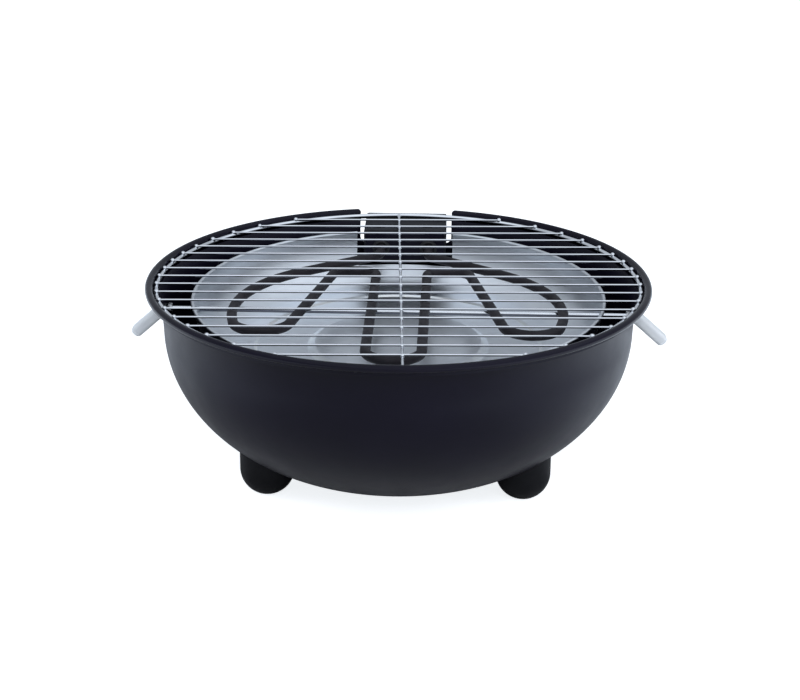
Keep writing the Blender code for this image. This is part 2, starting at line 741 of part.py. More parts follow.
def seal():
    """A collar round the tube where it enters the box, about +Z."""
    bore = TUBE_RADIUS + GAP
    front = -PLATE_THICKNESS - GAP
    back = BOX_WALL
    proud = front - SEAL_PROUD
    flange = SEAL_RADIUS + SEAL_FLANGE
    seat = front - GAP
    outline = [(bore, proud), (SEAL_RADIUS, proud), (flange, seat - SEAL_FLANGE_THICKNESS)]
    outline += [(flange, seat), (SEAL_RADIUS, seat), (SEAL_RADIUS, back), (bore, back)]
    return turned(outline, 12)


def make_face_plate(unit, finish):
    """The steel plate on the front of the box, round both tubes."""
    half = BOX_WIDTH / 2.0 - PLATE_MARGIN
    low = RIM_HEIGHT - FRONT_LEG_DROP + PLATE_MARGIN
    high = BOX_TOP_Z - PLATE_MARGIN
    outline = [(-half, low), (half, low), (half, high), (-half, high)]
    back = BOX_FRONT_Y - GAP
    plate = extruded(outline, "y", back - PLATE_THICKNESS, back)
    piece = add_piece("face_plate", plate, finish["black_enamel"], unit)
    cut(piece, add_tool("plate_seal_cutter", tube_bores(SEAL_RADIUS + GAP, 2.0 * BOX_WALL), unit))
    return piece


def tube_bores(radius, reach):
    """Holes for both tube ends, through the front of the box."""
    bores = []
    for x in (-TERMINAL_SPREAD, TERMINAL_SPREAD):
        bores.append(moved(along_y(pin(radius, -reach, reach)), (x, BOX_FRONT_Y, TUBE_Z)))
    return joined(*bores)


# Control box

def slope_z(y):
    """Height of the box's sloping back edge at a depth."""
    share = (y - BOX_TOP_BACK_Y) / (BOX_BACK_Y - BOX_TOP_BACK_Y)
    return BOX_TOP_Z + share * (BOX_BACK_TOP_Z - BOX_TOP_Z)


def housing_outline(inset, back):
    """Side view of the saddle-shaped front shell, set in by a wall."""
    front = BOX_FRONT_Y + inset
    leg_back = BOX_FRONT_Y + FRONT_LEG_DEPTH - inset
    leg_low = RIM_HEIGHT - FRONT_LEG_DROP + inset
    neck_low = NOTCH_FLOOR_Z + GAP + inset
    rear = REAR_LEG_Y + inset
    low = BOX_BOTTOM_Z + inset
    top = BOX_TOP_Z - inset
    fall = (BOX_TOP_Z - BOX_BACK_TOP_Z) / (BOX_BACK_Y - BOX_TOP_BACK_Y)
    shift = inset * (math.sqrt(1.0 + fall * fall) - 1.0) / fall
    outline = [(front, leg_low), (front, top), (BOX_TOP_BACK_Y - shift, top)]
    outline += [(back, slope_z(back) - inset * math.sqrt(1.0 + fall * fall)), (back, low)]
    outline += [(rear, low), (rear, neck_low), (leg_back, neck_low), (leg_back, leg_low)]
    return outline


def make_housing(unit, finish):
    """The front shell that straddles the bowl's wall."""
    half = BOX_WIDTH / 2.0
    shell = extruded(housing_outline(0.0, BOX_SPLIT_Y), "x", -half, half)
    housing = add_piece("control_housing", shell, finish["black_plastic"], unit)
    round_edges(housing, BOX_ROUNDING)
    inner = half - BOX_WALL
    cavity = extruded(housing_outline(BOX_WALL, BOX_SPLIT_Y + BOX_WALL), "x", -inner, inner)
    cut(housing, add_tool("housing_cutter", cavity, unit))
    cut(housing, add_tool("housing_seal_cutter", tube_bores(SEAL_RADIUS + GAP, 2.0 * BOX_WALL), unit))
    low = REAR_LEG_Y + BOX_WALL / 2.0
    high = BOX_BACK_Y - BOX_WALL - GAP
    posts = [moved(along_y(pin(POST_RADIUS, low, high)), (x, 0.0, z)) for x, z in cover_screw_spots()]
    weld(housing, add_tool("screw_posts", joined(*posts), unit))
    cut(housing, cover_screw_holes(unit))
    gland_hole = pin(gland_neck_radius() + GAP, -2.0 * BOX_WALL, 2.0 * BOX_WALL, 14)
    cut(housing, add_tool("gland_cutter", moved(gland_hole, gland_place()), unit))
    return housing


def cover_outline(inset):
    """Side view of the rear cover, set in by a wall at its back, top and bottom."""
    front = BOX_SPLIT_Y + GAP - inset
    back = BOX_BACK_Y - inset
    fall = (BOX_TOP_Z - BOX_BACK_TOP_Z) / (BOX_BACK_Y - BOX_TOP_BACK_Y)
    drop = inset * math.sqrt(1.0 + fall * fall)
    low = BOX_BOTTOM_Z + inset
    return [(front, low), (front, slope_z(front) - drop), (back, slope_z(back) - drop), (back, low)]


def make_cover(unit, finish):
    """The rear cover, with openings for the shaft, the lamp and its screws."""
    half = BOX_WIDTH / 2.0
    shell = extruded(cover_outline(0.0), "x", -half, half)
    cover = add_piece("control_cover", shell, finish["black_plastic"], unit)
    round_edges(cover, BOX_ROUNDING)
    inner = half - BOX_WALL
    cut(cover, add_tool("cover_cutter", extruded(cover_outline(BOX_WALL), "x", -inner, inner), unit))
    shaft_hole = along_y(pin(SHAFT_RADIUS + 2.0 * GAP, -3.0 * BOX_WALL, BOX_WALL))
    cut(cover, add_tool("shaft_cutter", moved(shaft_hole, (0.0, BOX_BACK_Y, KNOB_Z)), unit))
    point, outwards = lamp_line()
    lamp_hole = aimed(pin(LAMP_RADIUS + GAP, -3.0 * BOX_WALL, BOX_WALL, 14), point, outwards)
    cut(cover, add_tool("lamp_cutter", lamp_hole, unit))
    cut(cover, cover_screw_holes(unit))
    return cover


def cover_screw_spots():
    """The (x, z) places of the screws, near the cover's back corners."""
    x = BOX_WIDTH / 2.0 - COVER_SCREW_INSET
    low = BOX_BOTTOM_Z + COVER_SCREW_INSET
    high = BOX_BACK_TOP_Z - COVER_SCREW_INSET
    return [(-x, low), (x, low), (-x, high), (x, high)]


def cover_screw_holes(unit):
    """The screws' clearance holes, through the cover and into the posts."""
    radius = COVER_SCREW_RADIUS + GAP
    low = BOX_BACK_Y - COVER_SCREW_LENGTH - GAP
    high = BOX_BACK_Y + BOX_WALL
    holes = [moved(along_y(pin(radius, low, high)), (x, 0.0, z)) for x, z in cover_screw_spots()]
    return add_tool("cover_screw_cutter", joined(*holes), unit)


def make_cover_screws(unit, finish):
    """The four screws that hold the cover to the housing's posts."""
    top = GAP + COVER_SCREW_HEAD_HEIGHT
    outline = [(0.0, -COVER_SCREW_LENGTH), (COVER_SCREW_RADIUS, -COVER_SCREW_LENGTH)]
    outline += [(COVER_SCREW_RADIUS, GAP), (COVER_SCREW_HEAD_RADIUS, GAP)]
    outline += [(COVER_SCREW_HEAD_RADIUS, top * 0.55), (COVER_SCREW_HEAD_RADIUS * 0.7, top), (0.0, top)]
    names = ("lower_left", "lower_right", "upper_left", "upper_right")
    places = {}
    for name, (x, z) in zip(names, cover_screw_spots()):
        places["cover_screw_" + name] = Matrix.Translation((x, BOX_BACK_Y, z))
    add_copies(places, along_y(turned(outline, 12)), finish["zinc_steel"], unit)


# Inside the control box

def lamp_line():
    """The lamp's place on the sloping back edge and the way it faces."""
    y = (BOX_SPLIT_Y + BOX_BACK_Y) / 2.0
    slope = Vector((0.0, BOX_BACK_Y - BOX_TOP_BACK_Y, BOX_BACK_TOP_Z - BOX_TOP_Z)).normalized()
    return Vector((0.0, y, slope_z(y))), Vector((0.0, -slope.z, slope.y))


def make_lamp(unit, finish):
    """The indicator's lens and the lamp behind it."""
    point, outwards = lamp_line()
    flange = LAMP_RADIUS + LAMP_FLANGE
    base = -BOX_WALL - 2.0 * GAP
    lens = [(0.0, base), (LAMP_RADIUS, base), (LAMP_RADIUS, GAP), (flange, GAP)]
    lens += [(flange, GAP + LAMP_PROUD / 2.0), (LAMP_RADIUS * 0.75, LAMP_PROUD), (0.0, LAMP_PROUD)]
    add_piece("indicator_lens", aimed(turned(lens, 14), point, outwards), finish["red_lens"], unit)
    top = base - GAP
    bulb = pin(LAMP_RADIUS - GAP, top - LAMP_BODY_LENGTH, top, 14)
    add_piece("indicator_lamp", aimed(bulb, point, outwards), finish["white_ceramic"], unit)


def knob_outline():
    """Section of the knob's skirt and grip, about +Z, with the shaft's bore."""
    bore = SHAFT_RADIUS + GAP
    depth = SHAFT_IN_KNOB + GAP
    top = KNOB_SKIRT + KNOB_GRIP_DEPTH
    edge = KNOB_RADIUS
    grip = KNOB_GRIP_RADIUS
    outline = [(bore, 0.0), (edge, 0.0), (edge, KNOB_SKIRT * 0.6), (edge - KNOB_SKIRT * 0.4, KNOB_SKIRT)]
    outline += [(grip, KNOB_SKIRT), (grip * 0.94, top - KNOB_CROWN), (grip * 0.84, top), (0.0, top)]
    outline += [(0.0, depth), (bore, depth)]
    return outline


def make_knob(unit, finish):
    """The temperature knob, its shaft and the thermostat that it turns."""
    axis = add_empty("knob_axis", unit, (0.0, KNOB_BACK_Y, KNOB_Z))
    knob = turned(knob_outline(), 2 * KNOB_FLUTES)
    for vert in knob.verts:
        radius = math.hypot(vert.co.x, vert.co.y)
        on_grip = vert.co.z > KNOB_SKIRT * 0.99 and radius > KNOB_GRIP_RADIUS * 0.8
        if on_grip and radius < KNOB_GRIP_RADIUS * 1.01:
            wave = 0.5 - 0.5 * math.cos(KNOB_FLUTES * math.atan2(vert.co.y, vert.co.x))
            vert.co.xy *= 1.0 - wave * KNOB_FLUTE_DEPTH / radius
    add_piece("temperature_knob", along_y(knob), finish["black_plastic"], axis)
    inner = -KNOB_CLEARANCE - BOX_WALL - 2.0 * GAP
    shaft = along_y(pin(SHAFT_RADIUS, inner, SHAFT_IN_KNOB))
    add_piece("knob_shaft", shaft, finish["zinc_steel"], axis)
    face = BOX_BACK_Y - BOX_WALL - 3.0 * GAP
    body = [(0.0, -THERMOSTAT_DEPTH), (THERMOSTAT_RADIUS, -THERMOSTAT_DEPTH)]
    body += [(THERMOSTAT_RADIUS, -THERMOSTAT_DEPTH * 0.25), (THERMOSTAT_RADIUS * 0.8, 0.0), (0.0, 0.0)]
    thermostat = moved(along_y(turned(body, 16)), (0.0, face, KNOB_Z))
    add_piece("thermostat", thermostat, finish["white_ceramic"], unit)


def make_terminal_block(unit, finish):
    """The ceramic block that takes the element's pins."""
    width, depth, height = BLOCK_SIZE
    half = width / 2.0
    low = TUBE_Z - height / 2.0
    outline = [(-half, low), (half, low), (half, low + height), (-half, low + height)]
    block = extruded(outline, "y", BLOCK_FRONT_Y, BLOCK_FRONT_Y + depth)
    piece = add_piece("terminal_block", block, finish["white_ceramic"], unit)
    bores = tube_bores(PIN_RADIUS + GAP, BLOCK_FRONT_Y + BLOCK_PIN_GRIP + GAP - BOX_FRONT_Y)
    cut(piece, add_tool("block_cutter", bores, unit))


def gland_neck_radius():
    """Radius of the groove by which the gland sits in the box's floor."""
    return GLAND_RADIUS - GLAND_GROOVE


def gland_place():
    """Where the gland crosses the floor of the box."""
    return (0.0, (REAR_LEG_Y + BOX_SPLIT_Y) / 2.0, BOX_BOTTOM_Z)


def make_gland(unit, finish):
    """The grommet that a cord would leave by, under the box."""
    neck = gland_neck_radius()
    inside = BOX_WALL + GAP
    outline = [(GLAND_BORE, -GLAND_LENGTH), (GLAND_TIP_RADIUS, -GLAND_LENGTH)]
    outline += [(GLAND_RADIUS, -GAP - GLAND_COLLAR * 2.0), (GLAND_RADIUS, -GAP), (neck, -GAP)]
    outline += [(neck, inside), (GLAND_RADIUS, inside), (GLAND_RADIUS, inside + GLAND_COLLAR)]
    outline += [(GLAND_BORE, inside + GLAND_COLLAR)]
    gland = moved(turned(outline, 14), gland_place())
    add_piece("cord_gland", gland, finish["black_plastic"], unit)


# Grate

def make_grate(grate, finish):
    """The ring, the bars welded across it and the spine welded under them."""
    angles = [2.0 * math.pi * k / RING_FACETS for k in range(RING_FACETS)]
    circle = [Vector((RING_RADIUS * math.cos(a), RING_RADIUS * math.sin(a), RING_Z)) for a in angles]
    ring = swept(circle, RING_WIRE, WIRE_SIDES, closed=True)
    piece = add_piece("wire_grate", ring, finish["chrome"], grate)
    reach = RING_RADIUS + RING_WIRE - BAR_END_INSET
    bars = []
    for k in range(BAR_COUNT):
        y = (k - (BAR_COUNT - 1) / 2.0) * BAR_PITCH
        half = math.sqrt(reach ** 2 - (abs(y) + BAR_WIRE) ** 2)
        bars.append(swept([Vector((-half, y, BAR_Z)), Vector((half, y, BAR_Z))], BAR_WIRE, WIRE_SIDES))
    weld(piece, add_tool("bars", joined(*bars), grate))
    ends = [Vector((SPINE_SHIFT, side * RING_RADIUS, SPINE_Z)) for side in (-1.0, 1.0)]
    weld(piece, add_tool("spine", swept(ends, SPINE_WIRE, WIRE_SIDES), grate))


def build():
    """Clear the file and model the whole grill."""
    for old in list(bpy.data.objects):
        bpy.data.objects.remove(old, do_unlink=True)
    finish = make_materials()
    grill = add_empty("grill", None, (0.0, AXIS_Y, 0.0))
    rod_bore = make_rod_bore(grill)
    make_bowl(grill, finish, rod_bore)
    make_feet(grill, finish)
    make_rod(grill, finish)
    make_grips(grill, finish, rod_bore)
    make_pan(grill, finish, rod_bore)
    unit = add_empty("element_unit", grill)
    make_element(unit, finish)
    make_housing(unit, finish)
    make_cover(unit, finish)
    make_cover_screws(unit, finish)
    make_terminal_block(unit, finish)
    make_knob(unit, finish)
    make_lamp(unit, finish)
    make_gland(unit, finish)
    grate = add_empty("grate", unit)
    grate.rotation_euler = (0.0, 0.0, GRATE_TURN)
    make_grate(grate, finish)


build()
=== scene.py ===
import math

import bmesh
import bpy
from mathutils import Matrix, Vector


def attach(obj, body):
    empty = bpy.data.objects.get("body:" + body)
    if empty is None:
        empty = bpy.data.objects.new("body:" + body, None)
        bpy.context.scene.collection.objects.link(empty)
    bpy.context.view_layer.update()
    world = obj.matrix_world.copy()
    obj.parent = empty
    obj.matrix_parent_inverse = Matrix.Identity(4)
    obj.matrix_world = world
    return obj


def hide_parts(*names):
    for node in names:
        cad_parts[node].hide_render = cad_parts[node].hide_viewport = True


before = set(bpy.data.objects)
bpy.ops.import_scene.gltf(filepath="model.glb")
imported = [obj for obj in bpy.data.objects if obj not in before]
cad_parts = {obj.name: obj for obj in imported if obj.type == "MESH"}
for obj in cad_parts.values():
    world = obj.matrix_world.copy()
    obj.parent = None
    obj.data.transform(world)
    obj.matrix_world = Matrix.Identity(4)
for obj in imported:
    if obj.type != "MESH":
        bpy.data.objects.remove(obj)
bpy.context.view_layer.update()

MM = 0.001

# Clearance between pieces
GAP = 0.3 * MM

# Bowl, from the frame's sizes
RIM_RADIUS = 175.0 * MM
BEAD_RADIUS = 2.7 * MM
SHEET = 1.2 * MM
LEDGE_DROP = 4.0 * MM
LEDGE_WIDTH = 4.2 * MM
SHOULDER_HEIGHT = 3.4 * MM
WALL_RADIUS = 163.0 * MM
WALL_LEAN = 1.1 * MM
CURVE_DROP = 28.7 * MM
CURVE_WIDTH = 135.5 * MM
CURVE_DEPTH = 106.3 * MM
BASE_RADIUS = 70.0 * MM
BASE_CLEARANCE = 7.9 * MM
CURVE_CENTRE = WALL_RADIUS - CURVE_WIDTH
BASE_SHARE = (BASE_RADIUS - CURVE_CENTRE) / CURVE_WIDTH
BASE_DEPTH = CURVE_DEPTH * math.sqrt(1.0 - BASE_SHARE ** 2)
RIM_Z = BASE_CLEARANCE + BASE_DEPTH + CURVE_DROP
CURVE_Z = RIM_Z - CURVE_DROP
LEDGE_Z = RIM_Z - LEDGE_DROP
NOTCH_WIDTH = 70.4 * MM
NOTCH_DROP = 21.5 * MM
NOTCH_CORNER = 5.0 * MM

FOOT_RADIUS = 19.0 * MM
FOOT_FLAT = 8.0 * MM
FOOT_CIRCLE = 102.0 * MM
FOOT_EDGE = 0.5 * MM
FOOT_STEM_DROP = 40.0 * MM
FOOT_TRIM = 0.15 * MM

ROD_RADIUS = 1.8 * MM
ROD_Z = RIM_Z - 23.1 * MM
ROD_GRIP_DEPTH = 2.6 * MM
ROD_CHAMFER = 0.4 * MM
NUT_CORNER = 4.05 * MM
NUT_HEIGHT = 3.2 * MM
NUT_CLEARANCE = 0.25 * MM
GRIP_ANGLE = math.radians(41.5)
GRIP_LENGTH = 30.5 * MM
GRIP_RISE = 1.1 * MM
GRIP_ROOT_RUN = 6.5 * MM
GRIP_THICKNESS = 8.2 * MM
GRIP_WIDTH = 10.4 * MM
GRIP_CORNER = 2.6 * MM
TUBE_RADIUS = 3.5 * MM
TUBE_Z = ROD_Z + ROD_RADIUS + GAP + TUBE_RADIUS
TUBE_ENDS = (-18.0 * MM, 18.0 * MM)

# Half of the tube's centre line in mm: x, y and bend radius at each corner
TUBE_CORNERS = [(18.0, 141.5, 0.0), (18.0, 112.6, 14.0), (124.7, 29.6, 109.0), (92.4, -140.6, 19.5),
                (48.3, 74.5, 12.0), (18.5, 74.5, 10.0), (18.5, -111.5, 18.5), (0.0, -111.5, 0.0)]

PAN_RADIUS = 142.6 * MM
PAN_BEAD = 1.4 * MM
PAN_SHEET = 1.0 * MM
PAN_Z = RIM_Z - 10.5 * MM
PAN_DEPTH = 36.0 * MM
PAN_CURVE = 29.0 * MM
PAN_STEP = 99.0 * MM
PAN_DISC = 58.5 * MM
PAN_STEP_DROP = 1.2 * MM
PAN_STEP_RUN = 2.0 * MM
PAN_DISC_RISE = 3.0 * MM
PAN_DISC_RUN = 5.5 * MM
PAN_EDGES = 0.9 * MM
PAN_GAP_HALF = 36.4 * MM
PAN_GAP_DROP = 23.5 * MM
PAN_GAP_CORNER = 2.0 * MM
# Radius and half-width of the painted highlight bands on the pan's sloped steps
PAN_HIGHLIGHT_BANDS = ((61.2 * MM, 2.6 * MM), (100.0 * MM, 1.2 * MM))
PAN_TILT = math.radians(1.2)

BOX_WIDTH = 62.6 * MM
BOX_WALL = 1.8 * MM
BOX_FRONT = 134.5 * MM
BOX_TOP_Z = RIM_Z - 4.2 * MM
BOX_LOW_Z = RIM_Z - 67.0 * MM
BOX_TOP_BACK = 183.0 * MM
BOX_BACK = 201.0 * MM
BOX_SPLIT = 187.0 * MM
BOX_BACK_TOP_Z = RIM_Z - 26.0 * MM
BOX_EDGES = 1.3 * MM
BOX_FALL = (BOX_TOP_Z - BOX_BACK_TOP_Z) / (BOX_BACK - BOX_TOP_BACK)
BOX_STRETCH = math.sqrt(1.0 + BOX_FALL ** 2)
FRONT_LEG = 21.5 * MM
FRONT_LEG_LOW_Z = RIM_Z - 28.0 * MM
NECK_Z = RIM_Z - 21.2 * MM
REAR_LEG = 166.6 * MM
SCREW_X = 25.5 * MM
SCREW_INSET = 5.5 * MM
SCREW_HOLE = 1.9 * MM
SCREW_HOLE_DEPTH = 14.3 * MM
POST_RADIUS = 3.4 * MM
GLAND_HOLE = 5.3 * MM
SHAFT_HOLE = 3.6 * MM
LAMP_HOLE = 3.9 * MM
SEAL_HOLE = 5.7 * MM
KNOB_Z = RIM_Z - 47.5 * MM
KNOB_BACK = BOX_BACK + 0.8 * MM
KNOB_HEIGHT = 14.0 * MM
FLUTES = 12
FLUTE_DEPTH = 0.8 * MM
FLUTE_LOW = 3.05 * MM
FLUTE_RADII = (8.5 * MM, 12.2 * MM)
REAR_REACH = KNOB_BACK + KNOB_HEIGHT

# Grate, whose bars and spine are a little thinner than the frame's, as the photograph shows them
RING_RADIUS = 167.2 * MM
RING_WIRE = 1.8 * MM
BAR_WIRE = 0.75 * MM
SPINE_WIRE = 0.9 * MM
SPINE_SHIFT = 1.4 * MM
WELD_RADIUS = 1.4 * MM
SPINE_WELD = 1.0
RING_WELD = 1.25
END_WELD = 1.3
RING_Z = LEDGE_Z + GAP + RING_WIRE
BAR_Z = RING_Z + RING_WIRE + BAR_WIRE - 0.4 * MM
SPINE_RISE = 0.6 * MM
BAR_REACH = RING_RADIUS + RING_WIRE - 0.7 * MM
BAR_DIP = 0.4 * MM
BAR_DIP_LENGTH = 2.2 * MM
BAR_PITCH = 17.4 * MM
BAR_COUNT = 18
GRATE_TURN = math.radians(2.4)

AXIS_Y = (RIM_RADIUS - REAR_REACH) / 2.0
AXIS = Matrix.Translation((0.0, AXIS_Y, 0.0))


# Node trees

class Net:
    """A node tree, with short ways to add nodes."""

    def __init__(self, tree):
        self.tree = tree

    def link(self, start, end):
        self.tree.links.new(start, end)

    def node(self, kind, inputs=None, **settings):
        """A node with its settings, and its inputs linked or set by name or number."""
        made = self.tree.nodes.new(kind)
        for key, value in settings.items():
            setattr(made, key, value)
        for key, value in (inputs or {}).items():
            if isinstance(value, bpy.types.NodeSocket):
                self.link(value, made.inputs[key])
            else:
                made.inputs[key].default_value = value
        return made

    def maths(self, operation, *values):
        """What a Math node makes of linked or plain values."""
        return self.node("ShaderNodeMath", dict(enumerate(values)), operation=operation).outputs[0]

    def parts(self, vector):
        """The x, y and z of a vector."""
        return self.node("ShaderNodeSeparateXYZ", {0: vector}).outputs

    def spread(self, value, low, high, start=0.3, end=0.7, **settings):
        """A value mapped from one range onto another."""
        inputs = {"Value": value, "From Min": start, "From Max": end, "To Min": low, "To Max": high}
        return self.node("ShaderNodeMapRange", inputs, **settings).outputs["Result"]


# Materials

SPECULAR = "Specular IOR Level"


class Finish(Net):
    """A Principled material with patterns on the object's own coordinates."""

    def __init__(self, name, colour, roughness, metallic=0.0, sockets=None):
        self.material = bpy.data.materials.new(name)
        self.material.use_nodes = True
        super().__init__(self.material.node_tree)
        self.shader = self.tree.nodes["Principled BSDF"]
        constants = {"Base Color": (*colour, 1.0), "Roughness": roughness, "Metallic": metallic}
        for socket, value in {**constants, **(sockets or {})}.items():
            self.shader.inputs[socket].default_value = value
        spot = self.node("ShaderNodeTexCoord").outputs["Object"]
        centred = self.node("ShaderNodeMapping", {"Vector": spot, "Location": (0.0, -AXIS_Y, 0.0)})
        self.place = centred.outputs["Vector"]
        self.height = None

    def noise(self, scale, detail=3.0, stretch=None):
        """Noise over the piece, optionally stretched along its axes."""
        place = self.place
        if stretch:
            place = self.node("ShaderNodeMapping", {"Vector": place, "Scale": stretch}).outputs["Vector"]
        return self.node("ShaderNodeTexNoise", {"Vector": place, "Scale": scale, "Detail": detail}).outputs["Fac"]

    def tint(self, value, dark, light, start=0.35, end=0.65):
        """Colour that wanders between two shades."""
        ramp = self.node("ShaderNodeValToRGB", {"Fac": value})
        for element, place, shade in zip(ramp.color_ramp.elements, (start, end), (dark, light)):
            element.position = place
            element.color = (*shade, 1.0)
        self.link(ramp.outputs["Color"], self.shader.inputs["Base Color"])

    def gloss(self, value, low, high):
        """Roughness that wanders between two values."""
        self.link(self.spread(value, low, high), self.shader.inputs["Roughness"])

    def bump(self, value, distance, strength):
        """Relief of a real depth; calls add up."""
        inputs = {"Height": value, "Distance": distance, "Strength": strength}
        if self.height:
            inputs["Normal"] = self.height
        self.height = self.node("ShaderNodeBump", inputs).outputs["Normal"]
        self.link(self.height, self.shader.inputs["Normal"])

    def radius(self):
        """Distance from the bowl's axis."""
        flat = self.node("ShaderNodeVectorMath", {0: self.place, 1: (1.0, 1.0, 0.0)}, operation="MULTIPLY")
        return self.node("ShaderNodeVectorMath", {0: flat.outputs["Vector"]}, operation="LENGTH").outputs["Value"]

    def round_the_axis(self):
        """Direction of the turning marks round the bowl's axis."""
        inputs = {0: (0.0, 0.0, 1.0), 1: self.place}
        return self.node("ShaderNodeVectorMath", inputs, operation="CROSS_PRODUCT").outputs["Vector"]

    def upward(self, start, end):
        """0 to 1 as the z of the surface's normal goes from start to end."""
        normal = self.node("ShaderNodeTexCoord").outputs["Normal"]
        return self.spread(self.parts(normal)["Z"], 0.0, 1.0, start, end)

    def band(self, centre, half):
        """1 within a band at a distance from the bowl's axis, with soft edges."""
        off = self.maths("ABSOLUTE", self.maths("SUBTRACT", self.radius(), centre))
        return self.spread(off, 1.0, 0.0, half * 0.7, half * 1.3)

    def recolour(self, mask, colour):
        """Multiply the tint by a colour where a mask is 1."""
        base = self.shader.inputs["Base Color"]
        inputs = {0: mask, 6: base.links[0].from_socket, 7: (*colour, 1.0)}
        self.link(self.node("ShaderNodeMix", inputs, data_type="RGBA", blend_type="MULTIPLY").outputs[2], base)

    def rings(self, scale):
        """Noise that changes only with the distance from the bowl's axis."""
        inputs = {"W": self.radius(), "Scale": scale, "Detail": 4.0}
        return self.node("ShaderNodeTexNoise", inputs, noise_dimensions="1D").outputs["Fac"]


def patterned(name, colour, roughness, tint, gloss, bump, metallic=0.0, sockets=None):
    """A finish from three noises: each has its scale and detail first, then what it drives."""
    finish = Finish(name, colour, roughness, metallic, sockets)
    finish.tint(finish.noise(*tint[:2]), *tint[2:])
    finish.gloss(finish.noise(*gloss[:2]), *gloss[2:])
    finish.bump(finish.noise(*bump[:2]), *bump[2:])
    return finish.material


def enamel_finish(name, specular, smooth, rough):
    """Black stove enamel with faint orange peel."""
    return patterned(name, (0.007, 0.0072, 0.0135), 0.4, sockets={SPECULAR: specular},
                     tint=(14.0, 3.0, (0.0040, 0.0033, 0.0098), (0.0056, 0.0046, 0.0130)),
                     gloss=(38.0, 5.0, smooth, rough), bump=(420.0, 2.0, 0.00005, 0.3))


def plastic_finish(name, colour, roughness, grain):
    """Moulded plastic with a fine spark-eroded grain."""
    dark, light = (tuple(share * c for c in colour) for share in (0.86, 1.12))
    return patterned(name, colour, roughness, sockets={SPECULAR: 0.3}, tint=(26.0, 4.0, dark, light),
                     gloss=(90.0, 4.0, roughness - 0.05, roughness + 0.07), bump=(2600.0, 2.0, grain, 0.5))


def chrome_finish(name):
    """Bright plated wire with fine drawing marks, and painted shade on the side that faces down."""
    finish = Finish(name, (0.68, 0.70, 0.74), 0.08, 1.0)
    finish.tint(finish.noise(55.0), (0.82, 0.84, 0.88), (0.93, 0.95, 0.98))
    # Painted shade: the downward-facing side of each wire is darkened to stand in for the dark surroundings it would
    # reflect
    finish.recolour(finish.upward(0.5, 0.2), (0.18, 0.18, 0.2))
    finish.gloss(finish.noise(180.0, 5.0), 0.04, 0.12)
    finish.bump(finish.noise(600.0, 3.0, (0.08, 1.0, 1.0)), 0.00006, 0.4)
    return finish.material


def pan_finish(name):
    """Spun aluminium: satin, with turning rings, painted highlight bands on the steps and a little staining."""
    finish = Finish(name, (0.84, 0.87, 0.91), 0.34, 1.0, {"Anisotropic": 0.4})
    finish.tint(finish.noise(22.0, 6.0), (0.78, 0.81, 0.85), (0.89, 0.92, 0.96))
    # Painted highlight: lighter bands over the pan's sloped steps
    for centre, half in PAN_HIGHLIGHT_BANDS:
        finish.recolour(finish.band(centre, half), (1.15, 1.15, 1.13))
    rings = finish.rings(1400.0)
    finish.gloss(rings, 0.3, 0.38)
    finish.bump(rings, 0.00003, 0.15)
    finish.bump(finish.noise(7.0, 1.0), 0.0012, 0.05)
    finish.link(finish.round_the_axis(), finish.shader.inputs["Tangent"])
    return finish.material


ENAMEL = enamel_finish("stove_enamel", 0.15, 0.33, 0.41)
RIM_ENAMEL = enamel_finish("rim_enamel", 0.17, 0.2, 0.28)
HOUSING = plastic_finish("housing_moulding", (0.009, 0.0093, 0.0135), 0.58, 0.00008)
KNOB = plastic_finish("knob_moulding", (0.012, 0.012, 0.0145), 0.42, 0.00004)
MARK = plastic_finish("pointer_paint", (0.72, 0.73, 0.74), 0.4, 0.00002)
CHROME = chrome_finish("plated_wire")
PAN = pan_finish("spun_aluminium")

# Plating over a spot weld: bright, slightly pitted
WELD = patterned("plated_weld", (0.78, 0.80, 0.84), 0.2, metallic=1.0,
                 tint=(900.0, 3.0, (0.78, 0.80, 0.84), (0.92, 0.94, 0.97)),
                 gloss=(700.0, 3.0, 0.2, 0.38), bump=(1500.0, 3.0, 0.0001, 0.5))

# Zinc plating, slightly cloudy
ZINC = patterned("zinc_plating", (0.60, 0.61, 0.62), 0.34, metallic=1.0,
                 tint=(140.0, 5.0, (0.50, 0.51, 0.53), (0.68, 0.69, 0.70)),
                 gloss=(260.0, 4.0, 0.26, 0.44), bump=(1800.0, 2.0, 0.00003, 0.4))

# Heat-darkened steel tube with an oxide bloom
ELEMENT = patterned("oxidised_tube", (0.016, 0.0145, 0.018), 0.5, sockets={SPECULAR: 0.22},
                    tint=(70.0, 6.0, (0.012, 0.0105, 0.0135), (0.022, 0.0195, 0.0245)),
                    gloss=(160.0, 4.0, 0.42, 0.62), bump=(1100.0, 4.0, 0.0001, 0.35))

# Black heat-proof moulding, almost without gloss
FOOT = patterned("foot_moulding", (0.005, 0.005, 0.0068), 0.5, sockets={SPECULAR: 0.16},
                 tint=(40.0, 4.0, (0.004, 0.004, 0.0056), (0.0065, 0.0065, 0.0086)),
                 gloss=(120.0, 4.0, 0.44, 0.58), bump=(2200.0, 2.0, 0.00006, 0.5))

# Light silver-grey moulding with a soft sheen
GRIP = patterned("grip_moulding", (0.84, 0.87, 0.91), 0.34, sockets={"Coat Weight": 0.25, "Coat Roughness": 0.2},
                 tint=(48.0, 4.0, (0.80, 0.835, 0.88), (0.87, 0.90, 0.935)),
                 gloss=(200.0, 3.0, 0.28, 0.4), bump=(2400.0, 2.0, 0.00002, 0.4))

# Unglazed ceramic with fine specks
CERAMIC = patterned("bare_ceramic", (0.74, 0.72, 0.67), 0.62,
                    tint=(700.0, 4.0, (0.64, 0.61, 0.55), (0.78, 0.76, 0.71), 0.3, 0.6),
                    gloss=(300.0, 3.0, 0.55, 0.7), bump=(1600.0, 3.0, 0.00008, 0.5))

